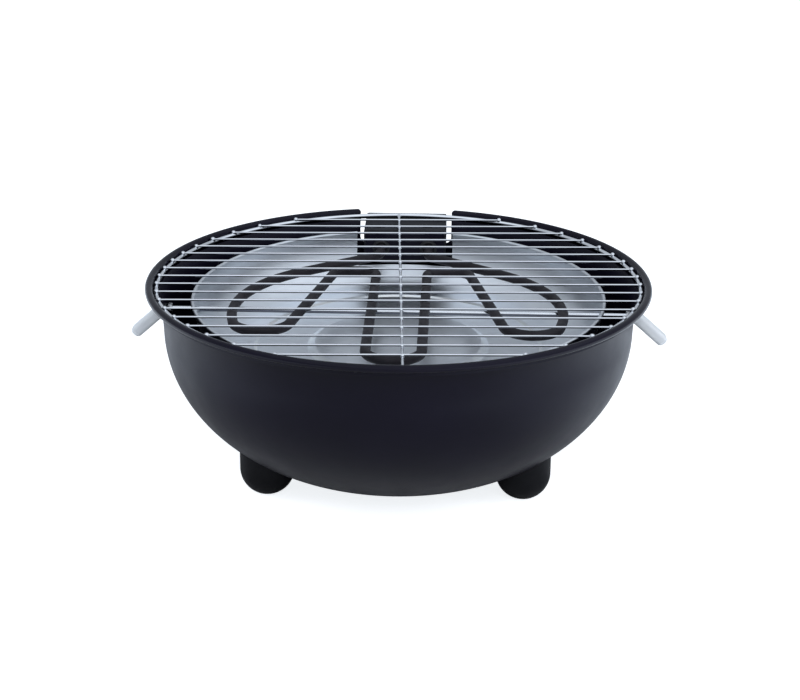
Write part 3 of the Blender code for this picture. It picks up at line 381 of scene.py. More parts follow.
# Red lamp lens
LENS = patterned("lamp_lens", (0.45, 0.02, 0.012), 0.16, sockets={"Transmission Weight": 0.35},
                 tint=(220.0, 2.0, (0.38, 0.014, 0.009), (0.52, 0.03, 0.018)),
                 gloss=(260.0, 2.0, 0.12, 0.22), bump=(900.0, 1.0, 0.00004, 0.3))


# Mesh tools

def arc(centre, radius_u, radius_v, start, end, steps):
    """Points on an elliptic arc."""
    angles = [start + (end - start) * k / steps for k in range(steps + 1)]
    return [(centre[0] + radius_u * math.cos(a), centre[1] + radius_v * math.sin(a)) for a in angles]


def in_mm(points):
    """An outline typed in millimetres."""
    return [(u * MM, v * MM) for u, v in points]


def skin(bm, first, second):
    """Faces between two neighbouring rings, either of which may be a point."""
    count = max(len(first), len(second))
    for k in range(count if count > 1 else 0):
        after = (k + 1) % count
        corners = [first[k % len(first)], first[after % len(first)]]
        corners += [second[after % len(second)], second[k % len(second)]]
        bm.faces.new(list(dict.fromkeys(corners)))


def closed(bm, rings):
    """A skin over rings, from the last one back to the first."""
    for first, second in zip(rings, rings[1:] + rings[:1]):
        skin(bm, first, second)
    bmesh.ops.recalc_face_normals(bm, faces=bm.faces)
    return bm


def turned(outline, steps):
    """A closed outline of (radius, height) turned about +Z."""
    bm = bmesh.new()
    rings = []
    for radius, height in outline:
        count = steps if radius > 1e-7 else 1
        angles = [2.0 * math.pi * k / steps for k in range(count)]
        ring = [(radius * math.cos(a), radius * math.sin(a), height) for a in angles]
        rings.append([bm.verts.new(p) for p in ring])
    return closed(bm, rings)


def lofted(sections):
    """A skin over cross-sections of equal count, with flat ends."""
    bm = bmesh.new()
    rings = [[bm.verts.new(p) for p in section] for section in sections]
    for first, second in zip(rings, rings[1:]):
        skin(bm, first, second)
    bm.faces.new(rings[0])
    bm.faces.new(rings[-1])
    bmesh.ops.recalc_face_normals(bm, faces=bm.faces)
    return bm


def extruded(outline, axis, low, high):
    """A flat outline pushed from low to high along x or y."""
    if axis == "x":
        return lofted([[Vector((w, u, v)) for u, v in outline] for w in (low, high)])
    return lofted([[Vector((u, w, v)) for u, v in outline] for w in (low, high)])


def pin(radius, low, high, sides=32):
    """A cylinder about +Z."""
    return turned([(0.0, low), (radius, low), (radius, high), (0.0, high)], sides)


def placed(bm, matrix):
    """Move a mesh by a matrix."""
    bmesh.ops.transform(bm, matrix=matrix, verts=bm.verts)
    return bm


def block(x, y, z):
    """A box about the origin."""
    bm = bmesh.new()
    bmesh.ops.create_cube(bm, size=1.0)
    return placed(bm, Matrix.Diagonal((x, y, z, 1.0)))


def slot_corners(half, floor, corner, steps):
    """The round lower corners of an open-topped slot."""
    left = arc((-half + corner, floor + corner), corner, corner, math.pi, 1.5 * math.pi, steps)
    return left + arc((half - corner, floor + corner), corner, corner, 1.5 * math.pi, 2.0 * math.pi, steps)


def aim(point, direction):
    """Put +Z along a direction at a point."""
    turn = Vector((0.0, 0.0, 1.0)).rotation_difference(Vector(direction)).to_matrix().to_4x4()
    return Matrix.Translation(point) @ turn


def along_y(bm, x, y, z):
    """Lay a mesh modelled about +Z along +Y at a place."""
    return placed(bm, aim((x, y, z), (0.0, 1.0, 0.0)))


def along_rod(bm):
    """Lay a mesh modelled about +Z along the rod."""
    return placed(bm, aim((0.0, 0.0, ROD_Z), (1.0, 0.0, 0.0)))


def joined(pieces):
    """Several meshes in one."""
    whole = bmesh.new()
    for bm in pieces:
        mesh = bpy.data.meshes.new("part")
        bm.to_mesh(mesh)
        bm.free()
        whole.from_mesh(mesh)
        bpy.data.meshes.remove(mesh)
    return whole


def make_object(name, bm):
    """An object from a mesh in the bowl's frame, shifted to the row's frame."""
    mesh = bpy.data.meshes.new(name)
    placed(bm, AXIS).to_mesh(mesh)
    bm.free()
    made = bpy.data.objects.new(name, mesh)
    bpy.context.scene.collection.objects.link(made)
    return made


def cut(piece, bm, operation="DIFFERENCE"):
    """Take a shape out of a piece, or add it, and keep the result as its mesh."""
    tool = make_object(piece.name + "_tool", bm)
    modifier = piece.modifiers.new("cut", "BOOLEAN")
    modifier.operation = operation
    modifier.solver = "EXACT"
    modifier.object = tool
    bake(piece)
    bpy.data.objects.remove(tool, do_unlink=True)


def bevel(piece, width, segments, angle=30.0):
    """Round the piece's edges and keep the result."""
    modifier = piece.modifiers.new("edges", "BEVEL")
    modifier.width = width
    modifier.segments = segments
    modifier.limit_method = "ANGLE"
    modifier.angle_limit = math.radians(angle)
    modifier.use_clamp_overlap = True
    bake(piece)


def bake(piece):
    """Turn what the modifiers make into the piece's plain mesh."""
    graph = bpy.context.evaluated_depsgraph_get()
    mesh = bpy.data.meshes.new_from_object(piece.evaluated_get(graph))
    piece.modifiers.clear()
    old = piece.data
    piece.data = mesh
    bpy.data.meshes.remove(old)


def dress(piece, material, body, nodes=(), angle=38.0):
    """Finish a piece: shading, material, the body it moves with and what it stands for."""
    mesh = piece.data
    if not mesh.materials:
        mesh.materials.append(material)
    mesh.shade_smooth()
    mesh.set_sharp_from_angle(angle=math.radians(angle))
    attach(piece, body)
    if nodes:
        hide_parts(*nodes)
    return piece


# Grate

class Tree(Net):
    """A geometry tree with named inputs."""

    def __init__(self, name):
        super().__init__(bpy.data.node_groups.new(name, "GeometryNodeTree"))
        for way in ("INPUT", "OUTPUT"):
            self.tree.interface.new_socket("Geometry", in_out=way, socket_type="NodeSocketGeometry")
        self.start = self.node("NodeGroupInput")
        self.sizes = {}

    def size(self, name, value, kind="NodeSocketFloat"):
        """A named input, whose output on the group input is returned."""
        socket = self.tree.interface.new_socket(name, in_out="INPUT", socket_type=kind)
        self.sizes[socket.identifier] = value
        return self.start.outputs[name]

    def vector(self, x=0.0, y=0.0, z=0.0):
        return self.node("ShaderNodeCombineXYZ", {0: x, 1: y, 2: z}).outputs[0]

    def wire(self, curve, radius, sides):
        """A round wire along a curve, with closed ends."""
        ring = self.node("GeometryNodeCurvePrimitiveCircle", {"Resolution": sides, "Radius": radius})
        inputs = {"Curve": curve, "Profile Curve": ring.outputs["Curve"], "Fill Caps": True}
        return self.node("GeometryNodeCurveToMesh", inputs).outputs["Mesh"]

    def shifted(self, geometry, x=0.0, y=0.0, z=0.0, turn=0.0):
        """Geometry moved and turned about +Z."""
        inputs = {"Geometry": geometry, "Translation": self.vector(x, y, z), "Rotation": (0.0, 0.0, turn)}
        return self.node("GeometryNodeTransform", inputs).outputs["Geometry"]

    def instances(self, points, shape, **scale):
        """A shape put on each point."""
        inputs = {"Points": points, "Instance": shape, **scale}
        return self.node("GeometryNodeInstanceOnPoints", inputs).outputs["Instances"]

    def real(self, geometry):
        return self.node("GeometryNodeRealizeInstances", {"Geometry": geometry}).outputs["Geometry"]

    def grow(self, geometry, material, piece=None):
        """End in real geometry with its material, and keep it as the plain mesh of a piece."""
        dressed = self.node("GeometryNodeSetMaterial", {"Geometry": self.real(geometry), "Material": material})
        self.node("NodeGroupOutput", {0: dressed.outputs["Geometry"]})
        piece = piece or make_object(self.tree.name, bmesh.new())
        modifier = piece.modifiers.new(self.tree.name, "NODES")
        modifier.node_group = self.tree
        for identifier, value in self.sizes.items():
            modifier[identifier] = value
        bake(piece)
        bpy.data.node_groups.remove(self.tree)
        return piece


def grow_bars():
    """The grate's bars: a row of straight wires whose ends dip over the ring."""
    tree = Tree("grate_bars")
    count = tree.size("Count", BAR_COUNT, "NodeSocketInt")
    pitch = tree.size("Pitch", BAR_PITCH)
    reach = tree.size("Reach", BAR_REACH)
    wire = tree.size("Wire radius", BAR_WIRE)
    height = tree.size("Height", BAR_Z)
    dip = tree.size("Dip", BAR_DIP)
    dip_length = tree.size("Dip length", BAR_DIP_LENGTH)
    length = tree.maths("MULTIPLY", tree.maths("SUBTRACT", count, 1.0), pitch)
    row = tree.node("GeometryNodeMeshLine", {
        "Count": count, "Start Location": tree.vector(y=tree.maths("MULTIPLY", length, -0.5)),
        "Offset": tree.vector(y=pitch)})
    unit = tree.node("GeometryNodeCurvePrimitiveLine", {"Start": (-1.0, 0.0, 0.0), "End": (1.0, 0.0, 0.0)})
    fine = tree.node("GeometryNodeResampleCurve", {"Curve": unit.outputs["Curve"], "Count": 160})
    x, y, _ = tree.parts(tree.node("GeometryNodeInputPosition").outputs[0])
    edge = tree.maths("ADD", tree.maths("ABSOLUTE", y), wire)
    square = tree.maths("SUBTRACT", tree.maths("POWER", reach, 2.0), tree.maths("POWER", edge, 2.0))
    half = tree.maths("SQRT", square)
    laid = tree.real(tree.instances(row.outputs["Mesh"], fine.outputs["Curve"], Scale=tree.vector(half, 1.0, 1.0)))
    left = tree.maths("SUBTRACT", half, tree.maths("ABSOLUTE", x))
    share = tree.maths("MINIMUM", tree.maths("DIVIDE", left, dip_length), 1.0)
    near = tree.maths("POWER", tree.maths("SUBTRACT", 1.0, share), 2.0)
    drop = tree.maths("MULTIPLY", tree.maths("MULTIPLY", near, dip), -1.0)
    bent = tree.node("GeometryNodeSetPosition", {"Geometry": laid, "Offset": tree.vector(z=drop)})
    bars = tree.wire(bent.outputs["Geometry"], wire, 14)
    return tree.grow(tree.shifted(bars, y=AXIS_Y, z=height, turn=GRATE_TURN), CHROME)


def grow_ring_and_spine():
    """The grate's ring and the wire that runs from front to back under the bars."""
    tree = Tree("grate_frame")
    radius = tree.size("Ring radius", RING_RADIUS)
    ring_wire = tree.size("Ring wire", RING_WIRE)
    spine_wire = tree.size("Spine wire", SPINE_WIRE)
    circle = tree.node("GeometryNodeCurvePrimitiveCircle", {"Resolution": 220, "Radius": radius})
    ring = tree.wire(circle.outputs["Curve"], ring_wire, 16)
    start = tree.vector(y=tree.maths("MULTIPLY", radius, -1.0))
    line = tree.node("GeometryNodeCurvePrimitiveLine", {"Start": start, "End": tree.vector(y=radius)})
    spine = tree.shifted(tree.wire(line.outputs["Curve"], spine_wire, 16), x=SPINE_SHIFT, z=SPINE_RISE)
    both = tree.node("GeometryNodeJoinGeometry", {0: ring})
    tree.link(spine, both.inputs[0])
    return tree.grow(tree.shifted(both.outputs[0], y=AXIS_Y, z=RING_Z, turn=GRATE_TURN), CHROME)


def grow_welds():
    """Small swollen welds where the bars cross the spine and end on the ring."""
    bm = bmesh.new()
    swell = bm.verts.layers.float.new("swell")
    for k in range(BAR_COUNT):
        y = (k - (BAR_COUNT - 1) / 2.0) * BAR_PITCH
        across = math.sqrt(RING_RADIUS ** 2 - y ** 2)
        bm.verts.new((SPINE_SHIFT, y, BAR_Z - BAR_WIRE + 0.1 * MM))[swell] = SPINE_WELD
        for side in (-1.0, 1.0):
            bm.verts.new((side * across, y, RING_Z + RING_WIRE + 0.3 * MM))[swell] = RING_WELD
    for end in (-1.0, 1.0):
        bm.verts.new((SPINE_SHIFT, end * (RING_RADIUS - RING_WIRE), RING_Z))[swell] = END_WELD
    placed(bm, Matrix.Rotation(GRATE_TURN, 4, "Z"))
    tree = Tree("grate_welds")
    ball = tree.node("GeometryNodeMeshIcoSphere", {"Radius": tree.size("Weld radius", WELD_RADIUS), "Subdivisions": 3})
    uneven = tree.node("FunctionNodeRandomValue", {2: 0.9, 3: 1.06, "Seed": 4}, data_type="FLOAT").outputs[1]
    swell = tree.node("GeometryNodeInputNamedAttribute", {"Name": "swell"}, data_type="FLOAT").outputs[0]
    laid = tree.instances(tree.start.outputs[0], ball.outputs["Mesh"], Scale=tree.maths("MULTIPLY", uneven, swell))
    return tree.grow(laid, WELD, make_object("grate_welds", bm))


def make_grate():
    """The whole grate on its own body."""
    dress(grow_bars(), CHROME, "grate", ("wire_grate",))
    dress(grow_ring_and_spine(), CHROME, "grate")
    dress(grow_welds(), WELD, "grate")


# Bowl and what is fixed to it

def bowl_curve(offset, steps):
    """The pressed curve from the wall to the base, set in by an offset."""
    depth = CURVE_DEPTH - offset
    end = math.asin((BASE_DEPTH - offset) / depth)
    return arc((CURVE_CENTRE, CURVE_Z), CURVE_WIDTH - offset, -depth, 0.0, end, steps)


def wall_radius_at(z):
    """Outer radius of the leaning wall at a height."""
    top = LEDGE_Z - SHEET - SHOULDER_HEIGHT
    return WALL_RADIUS + WALL_LEAN * (z - CURVE_Z) / (top - CURVE_Z)


def bowl_outline():
    """Fine section of the bowl."""
    bead = RIM_RADIUS - BEAD_RADIUS
    lip = RIM_RADIUS - 2.0 * BEAD_RADIUS
    ledge = lip - LEDGE_WIDTH
    under = LEDGE_Z - SHEET
    shoulder = under - SHOULDER_HEIGHT
    outside = list(reversed(bowl_curve(0.0, 56)))
    outside += [(wall_radius_at(shoulder), shoulder), (ledge + SHEET, under), (lip + SHEET, under)]
    start = math.pi + math.acos((bead - lip - SHEET) / BEAD_RADIUS)
    roll = arc((bead, RIM_Z), BEAD_RADIUS, BEAD_RADIUS, start, 3.0 * math.pi, 28)
    inside = [(lip, LEDGE_Z), (ledge, LEDGE_Z), (wall_radius_at(shoulder) - SHEET, shoulder)]
    inside += bowl_curve(SHEET, 56)
    base = CURVE_Z - BASE_DEPTH
    return [(0.0, base)] + outside + roll + inside + [(0.0, base + SHEET)]


def rim_ends():
    """Closed, rounded ends of the rolled rim at the notch."""
    bead = RIM_RADIUS - BEAD_RADIUS
    across = NOTCH_WIDTH / 2.0 + BEAD_RADIUS
    balls = []
    for side in (-1.0, 1.0):
        ball = bmesh.new()
        bmesh.ops.create_uvsphere(ball, u_segments=28, v_segments=18, radius=BEAD_RADIUS * 0.985)
        place = Vector((side * across, math.sqrt(bead ** 2 - across ** 2), RIM_Z))
        balls.append(placed(ball, Matrix.Translation(place)))
    return joined(balls)


def rim_trim():
    """The short lengths of rim that the rounded ends take the place of."""
    half = NOTCH_WIDTH / 2.0 + BEAD_RADIUS
    low = RIM_Z - BEAD_RADIUS - 0.2 * MM
    high = RIM_Z + 2.0 * BEAD_RADIUS
    return extruded([(-half, low), (half, low), (half, high), (-half, high)], "y", 0.15, 0.19)


def rod_hole():
    """The rod's way through bowl and pan."""
    return along_rod(pin(ROD_RADIUS + GAP, -0.2, 0.2))


def make_bowl():
    """The enamelled bowl with its notch and rolled rim."""
    bowl = make_object("bowl_shell", turned(bowl_outline(), 224))
    half = NOTCH_WIDTH / 2.0
    top = RIM_Z + 2.0 * BEAD_RADIUS
    notch = [(-half, top)] + slot_corners(half, RIM_Z - NOTCH_DROP, NOTCH_CORNER, 12) + [(half, top)]
    cut(bowl, extruded(notch, "y", 0.12, 0.21))
    cut(bowl, rim_trim())
    cut(bowl, rod_hole())
    dress(bowl, ENAMEL, "base", ("bowl",))
    bowl.data.materials.append(RIM_ENAMEL)
    for face in bowl.data.polygons:
        if face.center.z > RIM_Z - BEAD_RADIUS:
            face.material_index = 1
    ends = make_object("rim_ends", rim_ends())
    dress(ends, RIM_ENAMEL, "base")


def bowl_form():
    """The bowl's outer shape, a hair larger, to trim the feet."""
    curve = list(reversed(bowl_curve(-FOOT_TRIM, 48)))
    return turned([(0.0, curve[0][1])] + curve + [(0.0, CURVE_Z + FOOT_TRIM)], 240)


def make_feet():
    """Three ball feet that meet the bowl's curve."""
    centre = math.sqrt(FOOT_RADIUS ** 2 - FOOT_FLAT ** 2)
    start = -math.acos(FOOT_FLAT / FOOT_RADIUS)
    ball = arc((0.0, centre), FOOT_RADIUS, FOOT_RADIUS, start, 0.0, 22)
    pad = [(0.0, 0.0), (FOOT_FLAT - FOOT_EDGE, 0.0), (FOOT_FLAT, 0.1 * FOOT_EDGE)]
    stem = CURVE_Z - FOOT_STEM_DROP
    outline = pad + ball[1:] + [(FOOT_RADIUS, stem), (0.0, stem)]
    for name, angle in (("foot_back", 90.0), ("foot_left", 210.0), ("foot_right", 330.0)):
        turn = math.radians(angle)
        place = Matrix.Translation((FOOT_CIRCLE * math.cos(turn), FOOT_CIRCLE * math.sin(turn), 0.0))
        foot = make_object(name.replace("foot", "ball_foot"), placed(turned(outline, 72), place))
        cut(foot, bowl_form())
        dress(foot, FOOT, "base", (name,))


def make_rod():
    """The plated rod and its two nuts."""
    half = wall_radius_at(ROD_Z) + ROD_GRIP_DEPTH
    slim = ROD_RADIUS - ROD_CHAMFER
    outline = [(0.0, -half), (slim, -half), (ROD_RADIUS, ROD_CHAMFER - half)]
    outline += [(ROD_RADIUS, half - ROD_CHAMFER), (slim, half), (0.0, half)]
    rod = make_object("cross_rod", along_rod(turned(outline, 32)))
    dress(rod, CHROME, "base", ("support_rod",))
    seat = wall_radius_at(ROD_Z) - SHEET - 0.35 * MM
    for name, side in (("rod_nut_left", -1.0), ("rod_nut_right", 1.0)):
        nut = hex_nut(NUT_CORNER, ROD_RADIUS + NUT_CLEARANCE, NUT_HEIGHT)
        placed(nut, aim((side * seat, 0.0, ROD_Z), (-side, 0.0, 0.0)))
        piece = make_object(name.replace("rod_nut", "hex_nut"), nut)
        dress(piece, ZINC, "base", (name,), 25.0)


def hex_nut(corner, bore, height):
    """A six-sided nut with chamfered corners, about +Z."""
    steps = 72
    bm = bmesh.new()
    rings = []
    flat = corner * math.cos(math.pi / 6.0)
    for radius, z, hexagonal in ((bore, 0.0, 0), (flat * 0.97, 0.0, 0), (corner, height * 0.16, 1),
                                 (corner, height * 0.84, 1), (flat * 0.97, height, 0), (bore, height, 0)):
        ring = []
        for k in range(steps):
            angle = 2.0 * math.pi * k / steps
            swing = (angle + math.pi / 6.0) % (math.pi / 3.0) - math.pi / 6.0
            reach = flat / math.cos(swing) if hexagonal else radius
            ring.append(bm.verts.new((reach * math.cos(angle), reach * math.sin(angle), z)))
        rings.append(ring)
    return closed(bm, rings)


def grip_section(thickness, width, shrink):
    """A rounded bar's section with a soft crease along each edge."""
    corner = GRIP_CORNER * shrink
    reach_u = thickness * shrink / 2.0 - corner
    reach_v = width * shrink / 2.0 - corner
    points = []
    for quarter, (sign_u, sign_v) in enumerate(((1, 1), (-1, 1), (-1, -1), (1, -1))):
        turn = quarter * math.pi / 2.0
        points += arc((sign_u * reach_u, sign_v * reach_v), corner, corner, turn, turn + math.pi / 2.0, 9)
    return points


def make_grips():
    """The two side grips: rounded bars that slope down from the wall."""
    down = Vector((math.cos(GRIP_ANGLE), -math.sin(GRIP_ANGLE)))
    dome = GRIP_THICKNESS / 2.0
    straight = GRIP_LENGTH - dome
    root_height = GRIP_THICKNESS / math.cos(GRIP_ANGLE)
    root_top = ROD_Z + GRIP_RISE + root_height / 2.0
    root = Vector((wall_radius_at(root_top) + GAP, ROD_Z + GRIP_RISE))
    stations = [(0.0, 0.0, root_height, 1.0)]
    for k in range(7):
        run = GRIP_ROOT_RUN + (straight - GRIP_ROOT_RUN) * k / 6.0
        stations.append((run, GRIP_ANGLE, GRIP_THICKNESS, 1.0))
    for k in range(1, 13):
        turn = math.radians(86.0 * k / 12)
        stations.append((straight + dome * math.sin(turn), GRIP_ANGLE, GRIP_THICKNESS, math.cos(turn)))
    for name, side in (("left_handle", -1.0), ("right_handle", 1.0)):
        sections = []
        for run, slope, thick, shrink in stations:
            centre = root + down * run
            across = Vector((math.sin(slope), math.cos(slope)))
            section = []
            for u, v in grip_section(thick, GRIP_WIDTH, shrink):
                place = centre + across * u
                section.append(Vector((side * place.x, v, place.y)))
            sections.append(section)
        grip = make_object(name.replace("handle", "grip"), lofted(sections))
        dress(grip, GRIP, "base", (name,), 50.0)


# Drip pan

def pan_outline():
    """Fine section of the pan."""
    wall = PAN_RADIUS - PAN_BEAD
    centre = wall - PAN_CURVE
    floor = PAN_Z - PAN_DEPTH
    low = floor - PAN_STEP_DROP
    disc = low + PAN_DISC_RISE
    foot = PAN_DISC + PAN_DISC_RUN
    step = PAN_STEP + PAN_STEP_RUN
    top = [(0.0, disc), (PAN_DISC, disc), (foot, low), (PAN_STEP, low), (step, floor)]
    top += arc((centre, PAN_Z), PAN_CURVE, PAN_DEPTH, -0.5 * math.pi, 0.0, 36)
    roll = arc((PAN_RADIUS, PAN_Z), PAN_BEAD, PAN_BEAD, math.pi, -0.55 * math.pi, 20)
    under = arc((centre, PAN_Z), PAN_CURVE + PAN_SHEET, PAN_DEPTH + PAN_SHEET, -0.08 * math.pi, -0.5 * math.pi, 32)
    half = PAN_SHEET / 2.0
    under += [(step + half, floor - PAN_SHEET), (PAN_STEP + half, low - PAN_SHEET)]
    under += [(foot - half, low - PAN_SHEET), (PAN_DISC - half, disc - PAN_SHEET), (0.0, disc - PAN_SHEET)]
    return top + roll[1:] + under


def tipped_on_rod(angle):
    """A slight turn about the rod, which the pan hangs on."""
    rod = Matrix.Translation((0.0, AXIS_Y, ROD_Z))
    return rod @ Matrix.Rotation(angle, 4, "X") @ rod.inverted()


def make_pan():
    """The spun pan with its gap for the control box, tipped a little on its rod."""
    pan = make_object("drip_pan", turned(pan_outline(), 224))
    bevel(pan, PAN_EDGES, 4, 12.0)
    top = PAN_Z + 5.0 * MM
    gap = slot_corners(PAN_GAP_HALF, PAN_Z - PAN_GAP_DROP, PAN_GAP_CORNER, 6)
    cut(pan, extruded(gap + [(PAN_GAP_HALF, top), (-PAN_GAP_HALF, top)], "y", 0.11, 0.17))
    cut(pan, rod_hole())
    pan.data.transform(tipped_on_rod(PAN_TILT))
    dress(pan, PAN, "base", ("reflector_pan",), 32.0)


# Heating element

def filleted(corners):
    """Straight runs joined by round bends, from (x, y, bend radius)."""
    points = [Vector(corners[0][:2])]
    for before, here, after in zip(corners, corners[1:], corners[2:]):
        corner = Vector(here[:2])
        arriving = (corner - Vector(before[:2])).normalized()
        leaving = (Vector(after[:2]) - corner).normalized()
        turn = arriving.angle(leaving)
        start = corner - arriving * here[2] * math.tan(turn / 2.0)
        sense = 1.0 if arriving.cross(leaving) > 0.0 else -1.0
        centre = start + Vector((-arriving.y, arriving.x)) * sense * here[2]
        steps = max(8, round(turn / math.radians(4.0)))
        for k in range(steps + 1):
            points.append(centre + Matrix.Rotation(sense * turn * k / steps, 2) @ (start - centre))
    points.append(Vector(corners[-1][:2]))
    return points


def element_path():
    """The tube's centre line round its three lobes."""
    right = filleted([tuple(v * MM for v in corner) for corner in TUBE_CORNERS])[:-1]
    left = [Vector((-p.x, p.y)) for p in reversed(right[:-1])]
    return [(p.x, p.y, TUBE_Z) for p in right + left]


def make_element():
    """The bent heating tube, swept along its path."""
    bm = bmesh.new()
    line = [bm.verts.new(p) for p in element_path()]
    for first, second in zip(line, line[1:]):
        bm.edges.new((first, second))
    tree = Tree("heating_tube")
    curve = tree.node("GeometryNodeMeshToCurve", {"Mesh": tree.start.outputs[0]})
    tube = tree.wire(curve.outputs["Curve"], tree.size("Tube radius", TUBE_RADIUS), 32)
    piece = tree.grow(tube, ELEMENT, make_object("heating_tube", bm))
    dress(piece, ELEMENT, "element_unit", ("heating_element",), 60.0)


def make_seals():
    """Collars round the tube where it enters the box."""
    bore = 3.75
    outline = [(bore, -2.7), (bore + 0.4, -3.1), (4.9, -3.1), (5.4, -2.6), (6.6, -2.4), (6.6, -1.8)]
    outline += [(5.4, -1.8), (5.4, 1.8), (bore, 1.8)]
    for side, x in zip(("left", "right"), TUBE_ENDS):
        collar = along_y(turned(in_mm(outline), 40), x, BOX_FRONT, TUBE_Z)
        piece = make_object("collar_" + side, collar)
        dress(piece, KNOB, "element_unit", ("tube_seal_" + side,))


# Control box

def slope_z(y):
    """Height of the box's sloping back edge."""
    return BOX_TOP_Z - BOX_FALL * (y - BOX_TOP_BACK)


def housing_outline(inset, back):
    """Side view of the saddle-shaped shell."""
    front = BOX_FRONT + inset
    leg_back = BOX_FRONT + FRONT_LEG - inset
    leg_low = FRONT_LEG_LOW_Z + inset
    neck = NECK_Z + inset
    rear = REAR_LEG + inset
    low = BOX_LOW_Z + inset
    outline = [(front, leg_low), (front, BOX_TOP_Z - inset)]
    outline += [(BOX_TOP_BACK - inset * (BOX_STRETCH - 1.0) / BOX_FALL, BOX_TOP_Z - inset)]
    outline += [(back, slope_z(back) - inset * BOX_STRETCH), (back, low)]
    return outline + [(rear, low), (rear, neck), (leg_back, neck), (leg_back, leg_low)]


def cover_outline(inset):
    """Side view of the rear cover."""
    front = BOX_SPLIT + GAP - inset
    back = BOX_BACK - inset
    drop = inset * BOX_STRETCH
    low = BOX_LOW_Z + inset
    return [(front, low), (front, slope_z(front) - drop), (back, slope_z(back) - drop), (back, low)]


def screw_spots():
    """The (x, z) places of the cover's screws."""
    heights = (BOX_LOW_Z + SCREW_INSET, BOX_BACK_TOP_Z - SCREW_INSET)
    return [(x, z) for z in heights for x in (-SCREW_X, SCREW_X)]


def screw_pins(radius, low, high):
    """A pin along +Y at each of the cover's screws."""
    return joined([along_y(pin(radius, low, high), x, 0.0, z) for x, z in screw_spots()])


def under_box(bm):
    """Put a mesh in the middle of the box's underside."""
    return placed(bm, Matrix.Translation((0.0, (REAR_LEG + BOX_SPLIT) / 2.0, BOX_LOW_Z)))


def make_housing():
    """The front shell of the control box."""
    half = BOX_WIDTH / 2.0
    shell = make_object("box_front_shell", extruded(housing_outline(0.0, BOX_SPLIT), "x", -half, half))
    bevel(shell, BOX_EDGES, 5)
    inner = half - BOX_WALL
    through = 2.0 * BOX_WALL
    cut(shell, extruded(housing_outline(BOX_WALL, BOX_SPLIT + BOX_WALL), "x", -inner, inner))
    cut(shell, joined([along_y(pin(SEAL_HOLE, -through, through), x, BOX_FRONT, TUBE_Z) for x in TUBE_ENDS]))
    cut(shell, screw_pins(POST_RADIUS, REAR_LEG + BOX_WALL / 2.0, BOX_BACK - BOX_WALL - GAP), "UNION")
    cut(shell, screw_pins(SCREW_HOLE, BOX_BACK - SCREW_HOLE_DEPTH, BOX_BACK))
    cut(shell, under_box(pin(GLAND_HOLE, -through, through)))
    dress(shell, HOUSING, "element_unit", ("control_housing",))


def lamp_line():
    """The lamp's place on the slope and the way it faces."""
    y = (BOX_SPLIT + BOX_BACK) / 2.0
    slope = Vector((0.0, BOX_BACK - BOX_TOP_BACK, BOX_BACK_TOP_Z - BOX_TOP_Z)).normalized()
    return Vector((0.0, y, slope_z(y))), Vector((0.0, -slope.z, slope.y))


def make_cover():
    """The rear cover, with its openings for the knob, the lamp and the screws."""
    half = BOX_WIDTH / 2.0
    cover = make_object("box_rear_cover", extruded(cover_outline(0.0), "x", -half, half))
    bevel(cover, BOX_EDGES, 5)
    inner = half - BOX_WALL
    cut(cover, extruded(cover_outline(BOX_WALL), "x", -inner, inner))
    cut(cover, along_y(pin(SHAFT_HOLE, -3.0 * BOX_WALL, BOX_WALL), 0.0, BOX_BACK, KNOB_Z))
    cut(cover, placed(pin(LAMP_HOLE, -3.0 * BOX_WALL, BOX_WALL), aim(*lamp_line())))
    cut(cover, screw_pins(SCREW_HOLE, BOX_BACK - SCREW_HOLE_DEPTH, BOX_BACK + BOX_WALL))
    dress(cover, HOUSING, "element_unit", ("control_cover",))


def make_lens():
    """The lamp's domed lens."""
    outline = [(0.0, -2.4), (3.6, -2.4), (3.6, 0.3), (4.7, 0.3)]
    outline += arc((4.3, 0.7), 0.4, 0.4, 0.0, 0.5 * math.pi, 4)
    outline += [(3.0, 1.15), (2.0, 1.3), (1.0, 1.38), (0.0, 1.4)]
    lens = make_object("lamp_window", placed(turned(in_mm(outline), 48), aim(*lamp_line())))
    dress(lens, LENS, "element_unit", ("indicator_lens",))


def make_gland():
    """The ribbed cord grommet under the box."""
    outline = [(3.3, -15.0), (4.5, -15.0)]
    for k in range(5):
        z = -14.4 + 2.2 * k
        radius = 4.7 + 0.26 * k
        outline += [(radius, z), (radius, z + 1.2), (radius - 0.7, z + 1.45), (radius - 0.7, z + 1.95)]
    outline += [(6.0, -3.3), (6.0, -0.35), (5.0, -0.3), (5.0, 2.1), (6.0, 2.1), (6.0, 3.7), (3.3, 3.7)]
    gland = make_object("cord_grommet", under_box(turned(in_mm(outline), 48)))
    dress(gland, KNOB, "element_unit", ("cord_gland",))


